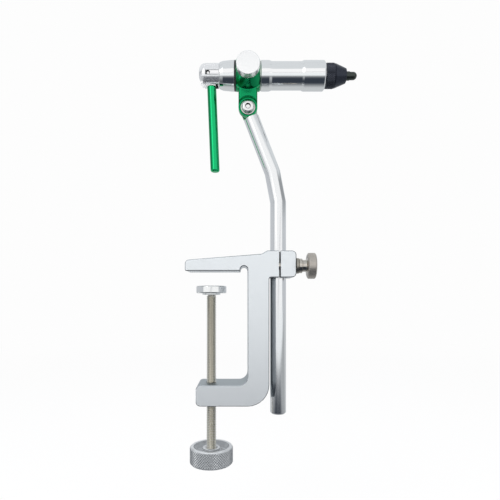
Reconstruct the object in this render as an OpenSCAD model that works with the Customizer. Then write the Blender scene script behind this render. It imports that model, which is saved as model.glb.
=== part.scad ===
// Fly tying vise on a table clamp.
// Millimetres, +Z up, +X towards the jaws, -Y towards the viewer.
// The origin is on the underside of the clamp's top arm, where the clamp screw's axis meets it.

/* [Clamp frame] */
// Thickness of the frame, front to back
frame_t = 21; // [20:0.5:30]
// Height of the throat, from the table seat down to the lower arm
throat_h = 66.7; // [50:0.1:90]
// Depth of the throat, from the clamp screw's axis to the post
throat_d = 21.85; // [20:0.05:30]
// Width of the post
post_w = 12.6; // [10:0.1:16]
// Reach of the top arm past the clamp screw's axis
arm_reach = 14.7; // [12:0.1:20]
// Height of the top arm at its tip
arm_tip_h = 6.4; // [5.5:0.1:8]
// Height of the top arm at the foot of the step
arm_root_h = 9.9; // [9:0.1:11]
// Height of the stem block above the table seat
block_rise = 11.8; // [11.2:0.1:16]
// Depth of the stem block below the table seat
block_drop = 3.8; // [3:0.1:6]
// Wall of the stem block, from the stem's axis to the right face
block_wall = 9.9; // [9:0.1:14]
// Run of the slanted step up to the stem block
step_run = 3.1; // [2:0.1:3.5]
// Distance from the post's outer face back to the foot of the step
step_back = 4.3; // [4:0.1:6]
// Height of the lower arm
lower_arm_h = 12.3; // [9:0.1:15]
// Reach of the lower arm past the clamp screw's axis
lower_reach = 8.4; // [6:0.1:12]
// Radius of the frame's outer corners
corner_r = 2.6; // [1:0.1:3]
// Radius at the arm tip's lower corner
tip_corner_r = 0.8; // [0.3:0.1:1.5]
// Radius of the inside corner between the post and the lower arm
throat_fillet_r = 5.2; // [2:0.1:8]
// Radius of the outside corner at the foot of the post
heel_r = 12.8; // [6:0.1:13]
// Radius of the relief notch at the root of the table seat
notch_r = 2.15; // [1.5:0.05:3]
// Height of the relief notch's centre above the table seat
notch_rise = 0.7; // [0.2:0.1:1.5]
// Width of the slit that lets the stem block close on the stem
slit_w = 1; // [0.6:0.1:1.6]

/* [Clamp screw and pad] */
// Outer diameter of the clamp screw's thread
screw_d = 5.9; // [4.9:0.1:7.9]
// Gap between the table seat and the pad as photographed
pad_open = 8.6; // [5:0.1:20]
// Diameter of the pad
pad_d = 18.1; // [14:0.1:24]
// Thickness of the pad's disc
pad_t = 4.45; // [3.6:0.05:6]
// Diameter of the boss under the pad
pad_boss_d = 10.8; // [9.8:0.1:13]
// Height of the boss under the pad
pad_boss_h = 0.95; // [0.5:0.05:2]
// Diameter of the screw's spigot that turns inside the pad
spigot_d = 4; // [3:0.1:4.5]
// Depth of the spigot inside the pad
spigot_h = 3.7; // [3:0.1:4]
// Diameter of the snap ring that keeps the pad on the spigot
clip_d = 5.6; // [5.2:0.1:6]
// Thickness of the snap ring
clip_t = 0.7; // [0.5:0.05:1]

/* [Bottom knob] */
// Distance from the table seat down to the knob's rim
knob_drop = 105.15; // [100:0.05:130]
// Diameter of the knob
knob_d = 26.2; // [22:0.1:34]
// Height of the knob
knob_h = 10.35; // [9.5:0.05:16]
// Thickness of the knob's rim
knob_rim = 2.4; // [1.5:0.1:4]
// Depth of the recess in the knob's top
knob_recess = 4.6; // [2:0.1:5]
// Diameter of the knob's hub
hub_d = 10.4; // [9.8:0.1:13]
// Distance from the knob's rim down to the top of its hub
hub_drop = 0.85; // [0.2:0.05:1.5]
// Diameter of the countersink in the hub
hub_sink_d = 8; // [8:0.1:9]
// Size of the lock nut across its flats
nut_af = 10; // [9.6:0.1:11]
// Thickness of the lock nut
nut_t = 3.2; // [2:0.1:3.6]
// Depth of the recess that holds the lock nut
nut_recess = 3.4; // [2:0.1:3.8]

/* [Thumb screw] */
// Thread diameter of the thumb screw
thumb_d = 4; // [3:0.1:4.2]
// Height of the thumb screw's axis above the table seat
thumb_z = 3; // [2:0.1:4]
// Length of thread past the slit
thumb_grip = 6.5; // [4:0.1:7]
// Diameter of the washer
thumb_washer_d = 9.1; // [7:0.1:10]
// Thickness of the washer
thumb_washer_t = 1.6; // [1:0.1:2.5]
// Diameter of the thumb screw's collar
thumb_collar_d = 8.6; // [6:0.1:9]
// Thickness of the thumb screw's collar
thumb_collar_t = 1.9; // [1:0.1:3]
// Diameter of the waist
thumb_waist_d = 7; // [5:0.1:8]
// Length of the waist
thumb_waist_l = 2.4; // [1:0.1:4]
// Diameter of the knurled head
thumb_head_d = 15.2; // [12:0.1:20]
// Thickness of the knurled head
thumb_head_t = 5.6; // [4:0.1:8]

/* [Stem] */
// Diameter of the stem
stem_d = 9.525; // [8:0.005:10]
// Gap between the post and the stem
post_gap = 1.1; // [0.9:0.05:3]
// Distance from the table seat down to the stem's lower end
stem_drop = 85.5; // [80:0.1:120]
// Height above the table seat where the lines of the two straight runs meet
bend_z = 51.1; // [48:0.1:70]
// Angle of the bend
bend_a = 21.2; // [15:0.1:25]
// Radius of the bend
bend_r = 50; // [30:1:60]
// Length from that meeting point up to the head's pivot
neck_l = 50.5; // [45:0.1:60]
// Wall of the split liner between the stem and the block
liner_t = 0.6; // [0.4:0.05:0.8]
// Chamfer at the stem's lower end
stem_chamfer = 0.8; // [0.3:0.1:1.5]

/* [Pivot of the head] */
// Diameter of the pivot screw
pivot_d = 4; // [3:0.1:4.5]
// Diameter of the pivot screw's head
pivot_head_d = 7.6; // [6.5:0.1:8]
// Height of the pivot screw's head
pivot_head_h = 2.2; // [1.8:0.1:2.6]
// Size of the hexagon socket across its flats
socket_af = 2.6; // [2:0.1:3]
// Diameter of the washer under the head
pivot_washer_d = 8.8; // [8:0.1:9.2]
// Thickness of the washer under the head
pivot_washer_t = 0.6; // [0.3:0.1:0.8]
// Thickness of the nylon washer between the tab and the stem
lap_washer_t = 0.4; // [0.2:0.05:0.8]
// Size of the pivot nut across its flats
pivot_nut_af = 7; // [6.5:0.1:7.5]
// Thickness of the pivot nut
pivot_nut_t = 2.8; // [2:0.1:4]

/* [Yoke] */
// Distance from the pivot up to the barrel's axis
yoke_h = 20.2; // [18:0.1:26]
// Diameter of the yoke's ring
ring_d = 17.6; // [17.4:0.1:22]
// Width of the yoke's ring along the barrel
ring_w = 14.4; // [14:0.1:18]
// Width of the yoke's tab
tab_w = 11.3; // [11.2:0.1:13]
// Thickness of the yoke's tab
tab_t = 4.2; // [4:0.1:5]
// Radius of the tab's long front edges
tab_edge_r = 1.2; // [0.5:0.1:1.5]
// Diameter of the step that is milled round the tab's lower end
step_d = 13.4; // [13:0.1:14]
// Depth of that step
step_h = 1; // [0.6:0.1:1.2]
// Diameter of the seat sunk in the step for the pivot screw's washer
spot_d = 9.6; // [9.4:0.1:10]
// Depth of that seat
spot_h = 0.8; // [0.5:0.1:1]
// Diameter of the drag boss
boss_d = 13.9; // [10:0.1:14]
// Reach of the drag boss in front of the barrel's axis
boss_reach = 10.7; // [9.5:0.1:14]
// Diameter of the boss at its foot, where it flares out into the tab
boss_foot_d = 18.4; // [17:0.1:19]

/* [Drag knob] */
// Diameter of the drag knob
drag_d = 13.7; // [10:0.1:18]
// Thickness of the drag knob
drag_t = 5.2; // [4:0.1:8]
// Diameter of the drag knob's stud
stud_d = 4; // [3:0.1:5]
// Length of the plug that the stud presses on the barrel
plug_l = 1.6; // [1:0.1:2]

/* [Barrel] */
// Diameter of the journal that turns in the yoke
journal_d = 12; // [11:0.1:13]
// Thickness of the black thrust washer behind the ring
thrust_t = 0.85; // [0.5:0.05:1.5]
// Thickness of the steel washer in front of the ring
front_washer_t = 0.4; // [0.3:0.05:1]
// Diameter of the barrel at its flange and at its front
barrel_d = 17.2; // [16.6:0.1:20]
// Diameter of the barrel's long neck
neck_d = 16; // [14:0.1:16.2]
// Length of the flange
flange_l = 5.3; // [4:0.1:8]
// Length of the neck, with its blends
neck_run = 20.5; // [18:0.1:26]
// Length of the blend at each end of the neck
neck_blend = 1.3; // [0.5:0.1:2]
// Length of the wide front part
front_l = 12.6; // [11:0.1:18]
// Diameter of the stepped front end that carries the nose ring
nose_spigot_d = 12.2; // [12:0.1:12.6]
// Length of the stepped front end
nose_spigot_l = 4.3; // [3:0.1:4.4]
// Diameter of the bore for the draw rod
rod_bore_d = 5.1; // [4.6:0.1:5.4]
// Diameter of the bore for the spring and the jaws
spring_bore_d = 10.4; // [10:0.1:10.6]
// Length of the rear sleeve
sleeve_l = 8.8; // [8:0.1:12]
// Diameter of the rear sleeve at its back
sleeve_back_d = 14.8; // [14:0.1:16]
// Diameter of the spigots that join the barrel's pieces
joint_d = 10; // [9:0.1:10.5]
// Depth of the cap's spigot in the sleeve
cap_spigot_l = 4.4; // [3:0.1:4.5]

/* [Rear cap and lever] */
// Diameter of the rear cap
cap_d = 14; // [14:0.1:16]
// Length of the rear cap
cap_l = 12.3; // [12.2:0.1:16]
// Radius of the rear cap's rounded edge
cap_round = 4; // [2:0.1:4.5]
// Distance from the cap's front face back to the lever pin
pin_back = 6.6; // [6.6:0.1:7]
// Distance of the lever pin below the barrel's axis
pin_drop = 1.2; // [0.8:0.1:1.5]
// Diameter of the lever pin
pin_d = 2; // [1.5:0.1:2.5]
// Diameter of the lever rod
lever_d = 5.5; // [4:0.1:5.6]
// Length of the lever rod below the pin
lever_l = 57; // [45:0.5:70]
// Distance of the lever rod's axis in front of the pin
lever_offset = 1.5; // [1:0.1:1.6]
// Lean of the lever rod
lever_lean = 2.3; // [0:0.1:3]
// Distance from the pin to the cam's face when the jaws are closed
cam_r = 4.5; // [4.3:0.1:4.6]
// Travel of the draw rod over the lever's swing
draw_travel = 1; // [0.6:0.05:1]
// Swing of the lever, in degrees
lever_swing = 90; // [60:5:90]

/* [Draw rod and spring] */
// Diameter of the draw rod
draw_d = 5; // [4.4:0.1:5]
// Diameter of the draw rod's head behind the jaws
draw_head_d = 9.2; // [8:0.1:9.4]
// Length of the draw rod's head
draw_head_l = 2; // [1:0.1:3]
// Diameter of the collar that the spring pushes on
collar_d = 9.8; // [9:0.1:9.9]
// Thickness of the collar
collar_t = 1.6; // [1:0.1:2.5]
// Length of the spring
spring_l = 14; // [10:0.5:15]
// Outer diameter of the spring
spring_d = 9.4; // [8:0.1:9.6]
// Diameter of the spring's wire
wire_d = 0.9; // [0.6:0.1:1.2]
// Length of the guide bush in front of the spring
bush_l = 3; // [2:0.1:4]

/* [Nose and jaws] */
// Diameter of the knurled nose ring
nose_d = 14.4; // [14.2:0.1:16]
// Length of the knurled nose ring
nose_l = 5.4; // [5.2:0.1:8]
// Gap between the barrel and the nose ring
nose_gap = 0.5; // [0.3:0.1:1]
// Thickness of the nose ring's front web
nose_web = 0.9; // [0.6:0.1:0.9]
// Length of the cone
cone_l = 7; // [6:0.1:9]
// Diameter of the cone at its back
cone_back_d = 13.9; // [13:0.1:14]
// Diameter of the cone at its front
cone_front_d = 8.6; // [7.6:0.1:9]
// Diameter of the mouth that the jaws pass through
mouth_d = 5.9; // [5.8:0.05:6.2]
// Length of the jaws' taper inside the cone
taper_l = 5.5; // [4:0.1:5.6]
// Diameter of the jaws behind their taper
jaw_body_d = 7.2; // [6.6:0.1:7.3]
// Diameter of the jaws' neck
jaw_neck_d = 5.2; // [4.8:0.05:5.3]
// Length of the neck that shows in front of the cone
jaw_neck_l = 2.2; // [1:0.1:3]
// Diameter of the jaws' tip
jaw_tip_d = 4.65; // [4:0.05:5]
// Length of the jaws' tip
jaw_tip_l = 4.6; // [3:0.1:6]
// Gap between the closed jaws
jaw_gap = 0.16; // [0.1:0.02:0.3]

/* [Hidden] */

// Sides of a full circle, and steps in the arc of an outline's corner
$fn = 96;
arc_steps = 8;
half_turn = 180;

// Radial gap of a turning or sliding fit, gap between fixed pieces and gap between end faces
run_gap = 0.05;
fit_gap = 0.02;
face_gap = 0.05;
// Room around pieces that swing past each other, and the overrun of cuts
swing_gap = 0.3;
overrun = 1;

// Shares of a diameter or length for small edges
edge_share = 0.04;
dome_share = 0.45;

// Places along X and Z that the frame's pieces share
post_out_x = throat_d + post_w;
stem_x = post_out_x + post_gap + stem_d / 2;
block_out_x = stem_x + block_wall;
lower_z = -throat_h - lower_arm_h;
stem_bore_r = stem_d / 2 + liner_t + 2 * run_gap;
thumb_y = -(stem_bore_r + thumb_d / 2 + 4 * run_gap);
screw_bore_d = screw_d + 2 * run_gap;

// Places along Z on the clamp screw's axis
pad_under_z = -pad_open - pad_t - pad_boss_h;
clip_z = pad_under_z + spigot_h / 2;
clip_groove_d = spigot_d - 4 * clip_t * dome_share;
knob_top_z = -knob_drop;
knob_under_z = knob_top_z - knob_h;

// The pivot of the head, and the barrel's axis above it
pivot_x = stem_x - neck_l * sin(bend_a);
pivot_z = bend_z + neck_l * cos(bend_a);
barrel_z = pivot_z + yoke_h;
bend_run = bend_r * tan(bend_a / 2);

// Planes along Y where the tab laps over the stem's flat
tab_back_y = -lap_washer_t / 2 - face_gap;
tab_front_y = tab_back_y - tab_t;
step_y = tab_front_y + step_h;
spot_y = step_y + spot_h;
flat_y = lap_washer_t / 2 + face_gap;
nut_seat_y = stem_d / 2 - stem_d * edge_share * 2;
tongue_r = stem_d / 2 - run_gap;
shoulder_r = tab_w / 2 + swing_gap;

// Places along the barrel, measured from the middle of the yoke
sleeve_front_x = -ring_w / 2 - thrust_t - 2 * face_gap;
sleeve_back_x = sleeve_front_x - sleeve_l;
cap_front_x = sleeve_back_x - face_gap;
cap_back_x = cap_front_x - cap_l;
flange_x = ring_w / 2 + front_washer_t + 2 * face_gap;
neck_x = flange_x + flange_l;
front_x = neck_x + neck_run;
front_end_x = front_x + front_l;
nose_x = front_end_x + nose_gap;
cone_x = nose_x + nose_l + face_gap;
mouth_x = cone_x + cone_l;
jaw_end_x = mouth_x + jaw_neck_l + jaw_tip_l;
taper_end_x = mouth_x - face_gap - draw_travel * edge_share;
taper_x = taper_end_x - taper_l;

// The lever's pin, the top of the hole that takes the lever below it, and the draw rod
pin_x = cap_front_x - pin_back;
lever_hole_top = -3 * pin_d / 2;
draw_back_x = pin_x + cam_r + face_gap;
jaw_root_x = front_x + front_l / 2;
draw_front_x = jaw_root_x - swing_gap / 2;
bush_x = draw_front_x - draw_head_l - draw_travel - bush_l - swing_gap;
spring_x = bush_x - face_gap - spring_l;
collar_x = spring_x - face_gap - collar_t;
spring_bore_x = collar_x - draw_travel - swing_gap;
tail_x = sleeve_back_x + cap_spigot_l + face_gap;
cam_slope = draw_travel / lever_swing * half_turn / PI;

// Outlines with rounded corners: the arc that replaces a corner, and the whole outline
function unit(v) = v / norm(v);
function turned(v, a) = [v.x * cos(a) - v.y * sin(a), v.x * sin(a) + v.y * cos(a)];
function corner_arc(before, corner, after, r) =
  let (
    u = unit(before - corner),
    v = unit(after - corner),
    half = acos(u * v) / 2,
    centre = corner + unit(u + v) * r / sin(half),
    start = corner + u * r / tan(half) - centre,
    sweep = sign(cross(v, u)) * (half_turn - 2 * half)
  )
  [for (i = [0 : arc_steps]) centre + turned(start, sweep * i / arc_steps)];
function rounded(points, radii) =
  let (n = len(points))
  [for (i = [0 : n - 1])
    each corner_arc(points[(i + n - 1) % n], points[i], points[(i + 1) % n], radii[i])];

// Turns a profile of [radius, place] points into a solid along +X, at a height
module turned_x(profile, z = barrel_z, x = pivot_x)
  translate([x, 0, z])
    rotate([0, 90, 0])
      rotate_extrude()
        polygon(profile);

// A cylinder along +X or +Y, from a point
module rod_x(x, y, z, l, d)
  translate([x, y, z])
    rotate([0, 90, 0])
      cylinder(h = l, d = d);
module rod_y(x, y, z, l, d, sides = $fn)
  translate([x, y, z])
    rotate([-90, 0, 0])
      cylinder(h = l, d = d, $fn = sides);

// A ring along +Z
module ring(outer, inner, h)
  difference() {
    cylinder(h = h, d = outer);
    translate([0, 0, -overrun])
      cylinder(h = h + 2 * overrun, d = inner);
  }

// A ring along +X on the barrel's axis
module barrel_ring(x, outer, inner, l)
  translate([pivot_x + x, 0, barrel_z])
    rotate([0, 90, 0])
      ring(outer, inner, l);

// Diameter across the corners of a hexagon, from its flats
function across(flats) = flats / cos(half_turn / 6);

// The clamp's body: two arms, a post and the split block that holds the stem

module frame_outline() {
  points = [
    [-arm_reach, 0], [-arm_reach, arm_tip_h],
    [post_out_x - step_back, arm_root_h], [post_out_x - step_back + step_run, block_rise],
    [block_out_x, block_rise], [block_out_x, -block_drop],
    [post_out_x, -block_drop], [post_out_x, lower_z],
    [-lower_reach, lower_z], [-lower_reach, -throat_h],
    [throat_d, -throat_h], [throat_d, 0]
  ];
  // under the block the fillet is as wide as the stem's gap, and the notch takes the last corner
  radii = [
    tip_corner_r, corner_r, tip_corner_r, tip_corner_r, corner_r, corner_r,
    post_gap, heel_r, corner_r, corner_r, throat_fillet_r, notch_rise
  ];
  difference() {
    polygon(rounded(points, radii));
    translate([throat_d - notch_r, notch_rise])
      circle(r = notch_r);
    translate([throat_d - 2 * notch_r, -overrun])
      square([2 * notch_r, notch_rise + overrun]);
  }
}

module clamp_frame()
  color("#c6cdd6")
    difference() {
      rotate([90, 0, 0])
        linear_extrude(frame_t, center = true)
          frame_outline();
      // the stem's bore and the slit in front of it
      translate([stem_x, 0, -block_drop - overrun])
        cylinder(h = block_rise + block_drop + 2 * overrun, r = stem_bore_r);
      translate([stem_x - slit_w / 2, -frame_t / 2 - overrun, -block_drop - overrun])
        cube([slit_w, frame_t / 2 + overrun, block_rise + block_drop + 2 * overrun]);
      // the thumb screw's hole
      rod_x(stem_x - thumb_grip - run_gap, thumb_y, thumb_z,
        thumb_grip + block_wall + overrun, thumb_d + 2 * run_gap);
      // the clamp screw's hole
      translate([0, 0, lower_z - overrun])
        cylinder(h = lower_arm_h + 2 * overrun, d = screw_bore_d);
    }

// The pad that presses on the underside of the table, and its snap ring

module clamp_pad()
  color("#b9bcc0")
    difference() {
      union() {
        translate([0, 0, pad_under_z])
          cylinder(h = pad_boss_h + overrun, d = pad_boss_d);
        translate([0, 0, pad_under_z + pad_boss_h])
          cylinder(h = pad_t, d = pad_d);
      }
      translate([0, 0, pad_under_z - overrun])
        cylinder(h = spigot_h + overrun + face_gap, d = spigot_d + 2 * run_gap);
      translate([0, 0, clip_z - clip_t / 2 - face_gap])
        cylinder(h = clip_t + 2 * face_gap, d = clip_d + 2 * run_gap);
    }

module pad_clip()
  color("#60646a")
    difference() {
      translate([0, 0, clip_z - clip_t / 2])
        ring(clip_d, clip_groove_d + 2 * fit_gap, clip_t);
      translate([0, -clip_t, clip_z - clip_t])
        cube([clip_d, 2 * clip_t, 2 * clip_t]);
    }

// The clamp screw with its spigot, the knob and the lock nut under it

module clamp_screw()
  color("#8c8378")
    difference() {
      union() {
        translate([0, 0, knob_under_z])
          cylinder(h = pad_under_z - face_gap - knob_under_z, d = screw_d);
        translate([0, 0, pad_under_z - overrun])
          cylinder(h = spigot_h + overrun, d = spigot_d);
      }
      // the groove for the snap ring
      translate([0, 0, clip_z - clip_t / 2 - fit_gap])
        ring(clip_d, clip_groove_d, clip_t + 2 * fit_gap);
    }

module clamp_knob() {
  edge = knob_rim / 4;
  floor_z = knob_top_z - knob_recess;
  recess_r = knob_d / 2 - knob_rim;
  profile = [
    [0, knob_under_z], [knob_d / 2 - edge, knob_under_z], [knob_d / 2, knob_under_z + edge],
    [knob_d / 2, knob_top_z - edge], [knob_d / 2 - edge, knob_top_z], [recess_r, knob_top_z],
    [recess_r, floor_z], [hub_d / 2, floor_z], [hub_d / 2, knob_top_z - hub_drop],
    [hub_sink_d / 2, knob_top_z - hub_drop],
    [screw_d / 2, knob_top_z - hub_drop - (hub_sink_d - screw_d) / 2],
    [0, knob_top_z - hub_drop - (hub_sink_d - screw_d) / 2]
  ];
  color("#9ea2a6")
    difference() {
      rotate_extrude()
        polygon(profile);
      translate([0, 0, knob_under_z - overrun])
        cylinder(h = knob_h + 2 * overrun, d = screw_d + 2 * fit_gap);
      translate([0, 0, knob_under_z - overrun])
        cylinder(h = nut_recess + overrun, d = across(nut_af) + 2 * swing_gap);
    }
}

module knob_nut()
  color("#a9a6a0")
    translate([0, 0, knob_under_z + nut_recess - nut_t - fit_gap])
      difference() {
        cylinder(h = nut_t, d = across(nut_af), $fn = 6);
        translate([0, 0, -overrun])
          cylinder(h = nut_t + 2 * overrun, d = screw_d + 2 * fit_gap);
      }

// The thumb screw that closes the block on the stem, and its washer

module thumb_washer()
  color("#8e867a")
    translate([block_out_x + face_gap, thumb_y, thumb_z])
      rotate([0, 90, 0])
        ring(thumb_washer_d, thumb_d + 2 * run_gap, thumb_washer_t);

module thumb_screw() {
  collar_in = thumb_washer_t + 2 * face_gap;
  collar_out = collar_in + thumb_collar_t;
  head_in = collar_out + thumb_waist_l;
  head_out = head_in + thumb_head_t;
  edge = thumb_head_t / 5;
  profile = [
    [0, -block_wall - thumb_grip], [thumb_d / 2, -block_wall - thumb_grip],
    [thumb_d / 2, collar_in], [thumb_collar_d / 2, collar_in],
    [thumb_collar_d / 2, collar_out], [thumb_waist_d / 2, collar_out],
    [thumb_waist_d / 2, head_in], [thumb_waist_d / 2 + edge, head_in + edge / 2],
    [thumb_head_d / 2 - edge, head_in + edge / 2], [thumb_head_d / 2, head_in + edge],
    [thumb_head_d / 2, head_out - edge], [thumb_head_d / 2 - edge, head_out - edge / 3],
    [0, head_out]
  ];
  color("#a59c8e")
    translate([0, thumb_y, 0])
      turned_x(profile, z = thumb_z, x = block_out_x);
}

// The split liner that turns with the stem, and the bent stem with its half-lapped end

module stem_liner()
  color("#3a3d42")
    difference() {
      translate([stem_x, 0, -block_drop + swing_gap])
        ring(2 * (stem_bore_r - run_gap), stem_d + 2 * run_gap,
          block_rise + block_drop - 2 * swing_gap);
      translate([stem_x - slit_w / 2, -stem_bore_r - overrun, -block_drop - overrun])
        cube([slit_w, stem_bore_r + overrun, block_rise + block_drop + 2 * overrun]);
    }

module stem() {
  lower_l = bend_z - bend_run + stem_drop;
  color("#d7d9dc")
    difference() {
      union() {
        translate([stem_x, 0, -stem_drop])
          rotate_extrude()
            polygon([[0, 0], [stem_d / 2 - stem_chamfer, 0], [stem_d / 2, stem_chamfer],
              [stem_d / 2, lower_l], [0, lower_l]]);
        translate([stem_x - bend_r, 0, bend_z - bend_run])
          rotate([90, 0, 0])
            rotate_extrude(angle = bend_a)
              translate([bend_r, 0])
                circle(d = stem_d - fit_gap);
        translate([stem_x, 0, bend_z])
          rotate([0, -bend_a, 0])
            translate([0, 0, bend_run])
              cylinder(h = neck_l - bend_run + stem_d / 2, d = stem_d);
      }
      // the half of the rod that makes way for the tab, and the rounding of its end
      translate([pivot_x, 0, pivot_z])
        rotate([0, -bend_a, 0]) {
          translate([-stem_d, -stem_d, -shoulder_r])
            cube([2 * stem_d, stem_d + flat_y, 2 * shoulder_r]);
          difference() {
            translate([-stem_d, -stem_d, 0])
              cube([2 * stem_d, 2 * stem_d, stem_d]);
            rod_y(0, -2 * stem_d, 0, 4 * stem_d, 2 * tongue_r);
          }
        }
      rod_y(pivot_x, -stem_d, pivot_z, 2 * stem_d, pivot_d + 2 * run_gap);
      // the flat seat of the nut
      rod_y(pivot_x, nut_seat_y, pivot_z, stem_d, across(pivot_nut_af) + 2 * swing_gap);
    }
}

// The pivot of the head: screw, nut and washers

module pivot_screw() {
  head_y = spot_y - pivot_washer_t - 2 * fit_gap;
  dome = pivot_head_h * dome_share;
  end_y = nut_seat_y + pivot_nut_t + 2 * fit_gap;
  profile = [
    [0, 0], [pivot_head_d / 2 - dome, 0], [pivot_head_d / 2 - dome / 3, dome / 2],
    [pivot_head_d / 2, pivot_head_h - dome], [pivot_head_d / 2, pivot_head_h],
    [pivot_d / 2, pivot_head_h], [pivot_d / 2, pivot_head_h + end_y - head_y],
    [0, pivot_head_h + end_y - head_y]
  ];
  color("#e2e3e4")
    difference() {
      translate([pivot_x, head_y - pivot_head_h, pivot_z])
        rotate([-90, 0, 0])
          rotate_extrude()
            polygon(profile);
      rod_y(pivot_x, head_y - pivot_head_h - overrun, pivot_z,
        overrun + pivot_head_h - dome, across(socket_af), sides = 6);
    }
}

module pivot_nut()
  color("#b5b7ba")
    difference() {
      rod_y(pivot_x, nut_seat_y + fit_gap, pivot_z, pivot_nut_t, across(pivot_nut_af), sides = 6);
      rod_y(pivot_x, nut_seat_y - overrun, pivot_z, pivot_nut_t + 2 * overrun,
        pivot_d + 2 * fit_gap);
    }

module pivot_washer()
  color("#c9cacb")
    translate([pivot_x, spot_y - fit_gap - pivot_washer_t, pivot_z])
      rotate([-90, 0, 0])
        ring(pivot_washer_d, pivot_d + 2 * run_gap, pivot_washer_t);

module lap_washer()
  color("#2a2c2e")
    translate([pivot_x, -lap_washer_t / 2, pivot_z])
      rotate([-90, 0, 0])
        ring(pivot_washer_d, pivot_d + 2 * run_gap, lap_washer_t);

// The yoke: a ring round the barrel, a tab down to the pivot and the drag screw's boss

module yoke() {
  edge = ring_d * edge_share;
  ring_profile = [
    [0, -ring_w / 2], [ring_d / 2 - edge / 2, -ring_w / 2], [ring_d / 2, -ring_w / 2 + edge / 2],
    [ring_d / 2, ring_w / 2 - edge / 2], [ring_d / 2 - edge / 2, ring_w / 2], [0, ring_w / 2]
  ];
  boss_profile = [
    [0, -boss_reach], [boss_d / 2, -boss_reach], [boss_foot_d / 2, tab_front_y],
    [boss_foot_d / 2, -journal_d / 4], [0, -journal_d / 4]
  ];
  tab_section = rounded(
    [[-tab_w / 2, tab_back_y], [-tab_w / 2, tab_front_y], [tab_w / 2, tab_front_y],
      [tab_w / 2, tab_back_y]],
    [edge / 4, tab_edge_r, tab_edge_r, edge / 4]);
  color("#0d7a45")
    difference() {
      union() {
        turned_x(ring_profile);
        // the tab is round at its end and its long front edges are rounded
        rod_y(pivot_x, step_y, pivot_z, tab_back_y - step_y, tab_w);
        translate([pivot_x, 0, pivot_z])
          linear_extrude(yoke_h - journal_d / 2)
            polygon(tab_section);
        // the boss flares towards the tab and is milled flush with the ring's sides
        intersection() {
          translate([pivot_x, 0, barrel_z])
            rotate([-90, 0, 0])
              rotate_extrude()
                polygon(boss_profile);
          translate([pivot_x - ring_w / 2, -boss_reach - overrun, barrel_z - ring_d])
            cube([ring_w, boss_reach + overrun, 2 * ring_d]);
        }
      }
      barrel_ring(-ring_w, journal_d + 2 * run_gap, 0, 2 * ring_w);
      rod_y(pivot_x, -boss_reach - overrun, barrel_z, boss_reach + overrun,
        stud_d + 2 * run_gap);
      rod_y(pivot_x, tab_front_y - overrun, pivot_z, tab_t + 2 * overrun, pivot_d + 2 * run_gap);
      // the step round the screw, whose wall slants, and the washer's seat in it
      translate([pivot_x, tab_front_y, pivot_z])
        rotate([-90, 0, 0])
          cylinder(h = step_h, d1 = step_d, d2 = step_d - 2 * step_h);
      rod_y(pivot_x, tab_front_y - overrun, pivot_z, overrun + fit_gap, step_d);
      rod_y(pivot_x, tab_front_y - overrun, pivot_z, overrun + step_h + spot_h, spot_d);
    }
}

module thrust_washer()
  color("#1d1f21")
    barrel_ring(-ring_w / 2 - face_gap - thrust_t, barrel_d, journal_d + 2 * run_gap, thrust_t);

module front_washer()
  color("#c9cacb")
    barrel_ring(ring_w / 2 + face_gap, barrel_d - 2 * front_washer_t,
      journal_d + 2 * run_gap, front_washer_t);

// The drag: a knob with a stud, and the plug that it presses on the journal

module drag_plug()
  color("#e8e6dc")
    rod_y(pivot_x, -journal_d / 2 - 2 * face_gap - plug_l, barrel_z, plug_l, stud_d);

module drag_knob() {
  edge = drag_t * edge_share * 2;
  stud_l = boss_reach - journal_d / 2 - plug_l - 2 * face_gap;
  profile = [
    [0, 0], [drag_d / 2 - edge, 0], [drag_d / 2, edge], [drag_d / 2, drag_t - edge],
    [drag_d / 2 - edge, drag_t], [stud_d / 2, drag_t], [stud_d / 2, drag_t + stud_l],
    [0, drag_t + stud_l]
  ];
  color("#e6e7e8")
    translate([pivot_x, -boss_reach - face_gap - drag_t, barrel_z])
      rotate([-90, 0, 0])
        rotate_extrude()
          polygon(profile);
}

// The barrel: the front piece with its journal, the rear sleeve and the slotted rear cap

module barrel_front() {
  big = barrel_d / 2;
  small = neck_d / 2;
  edge = barrel_d * edge_share;
  spigot_end_x = front_end_x + nose_spigot_l;
  profile = [
    [rod_bore_d / 2, tail_x], [joint_d / 2, tail_x], [joint_d / 2, sleeve_front_x],
    [journal_d / 2, sleeve_front_x], [journal_d / 2, flange_x], [big, flange_x],
    [big, neck_x - edge / 2], [small, neck_x + neck_blend], [small, front_x - neck_blend],
    [big, front_x], [big, front_end_x - edge], [big - edge, front_end_x],
    [nose_spigot_d / 2, front_end_x], [nose_spigot_d / 2, spigot_end_x],
    [spring_bore_d / 2, spigot_end_x], [spring_bore_d / 2, spring_bore_x],
    [rod_bore_d / 2, spring_bore_x]
  ];
  color("#d5d7da")
    turned_x(profile);
}

module barrel_sleeve() {
  back = sleeve_back_d / 2;
  front = barrel_d / 2;
  profile = [
    [joint_d / 2 + fit_gap, sleeve_back_x], [back, sleeve_back_x],
    [back + (front - back) * dome_share, sleeve_back_x + sleeve_l * dome_share / 2],
    [front, sleeve_front_x - sleeve_l * edge_share * 4], [front, sleeve_front_x - fit_gap],
    [joint_d / 2 + fit_gap, sleeve_front_x - fit_gap]
  ];
  color("#cfd1d4")
    turned_x(profile);
}

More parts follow.
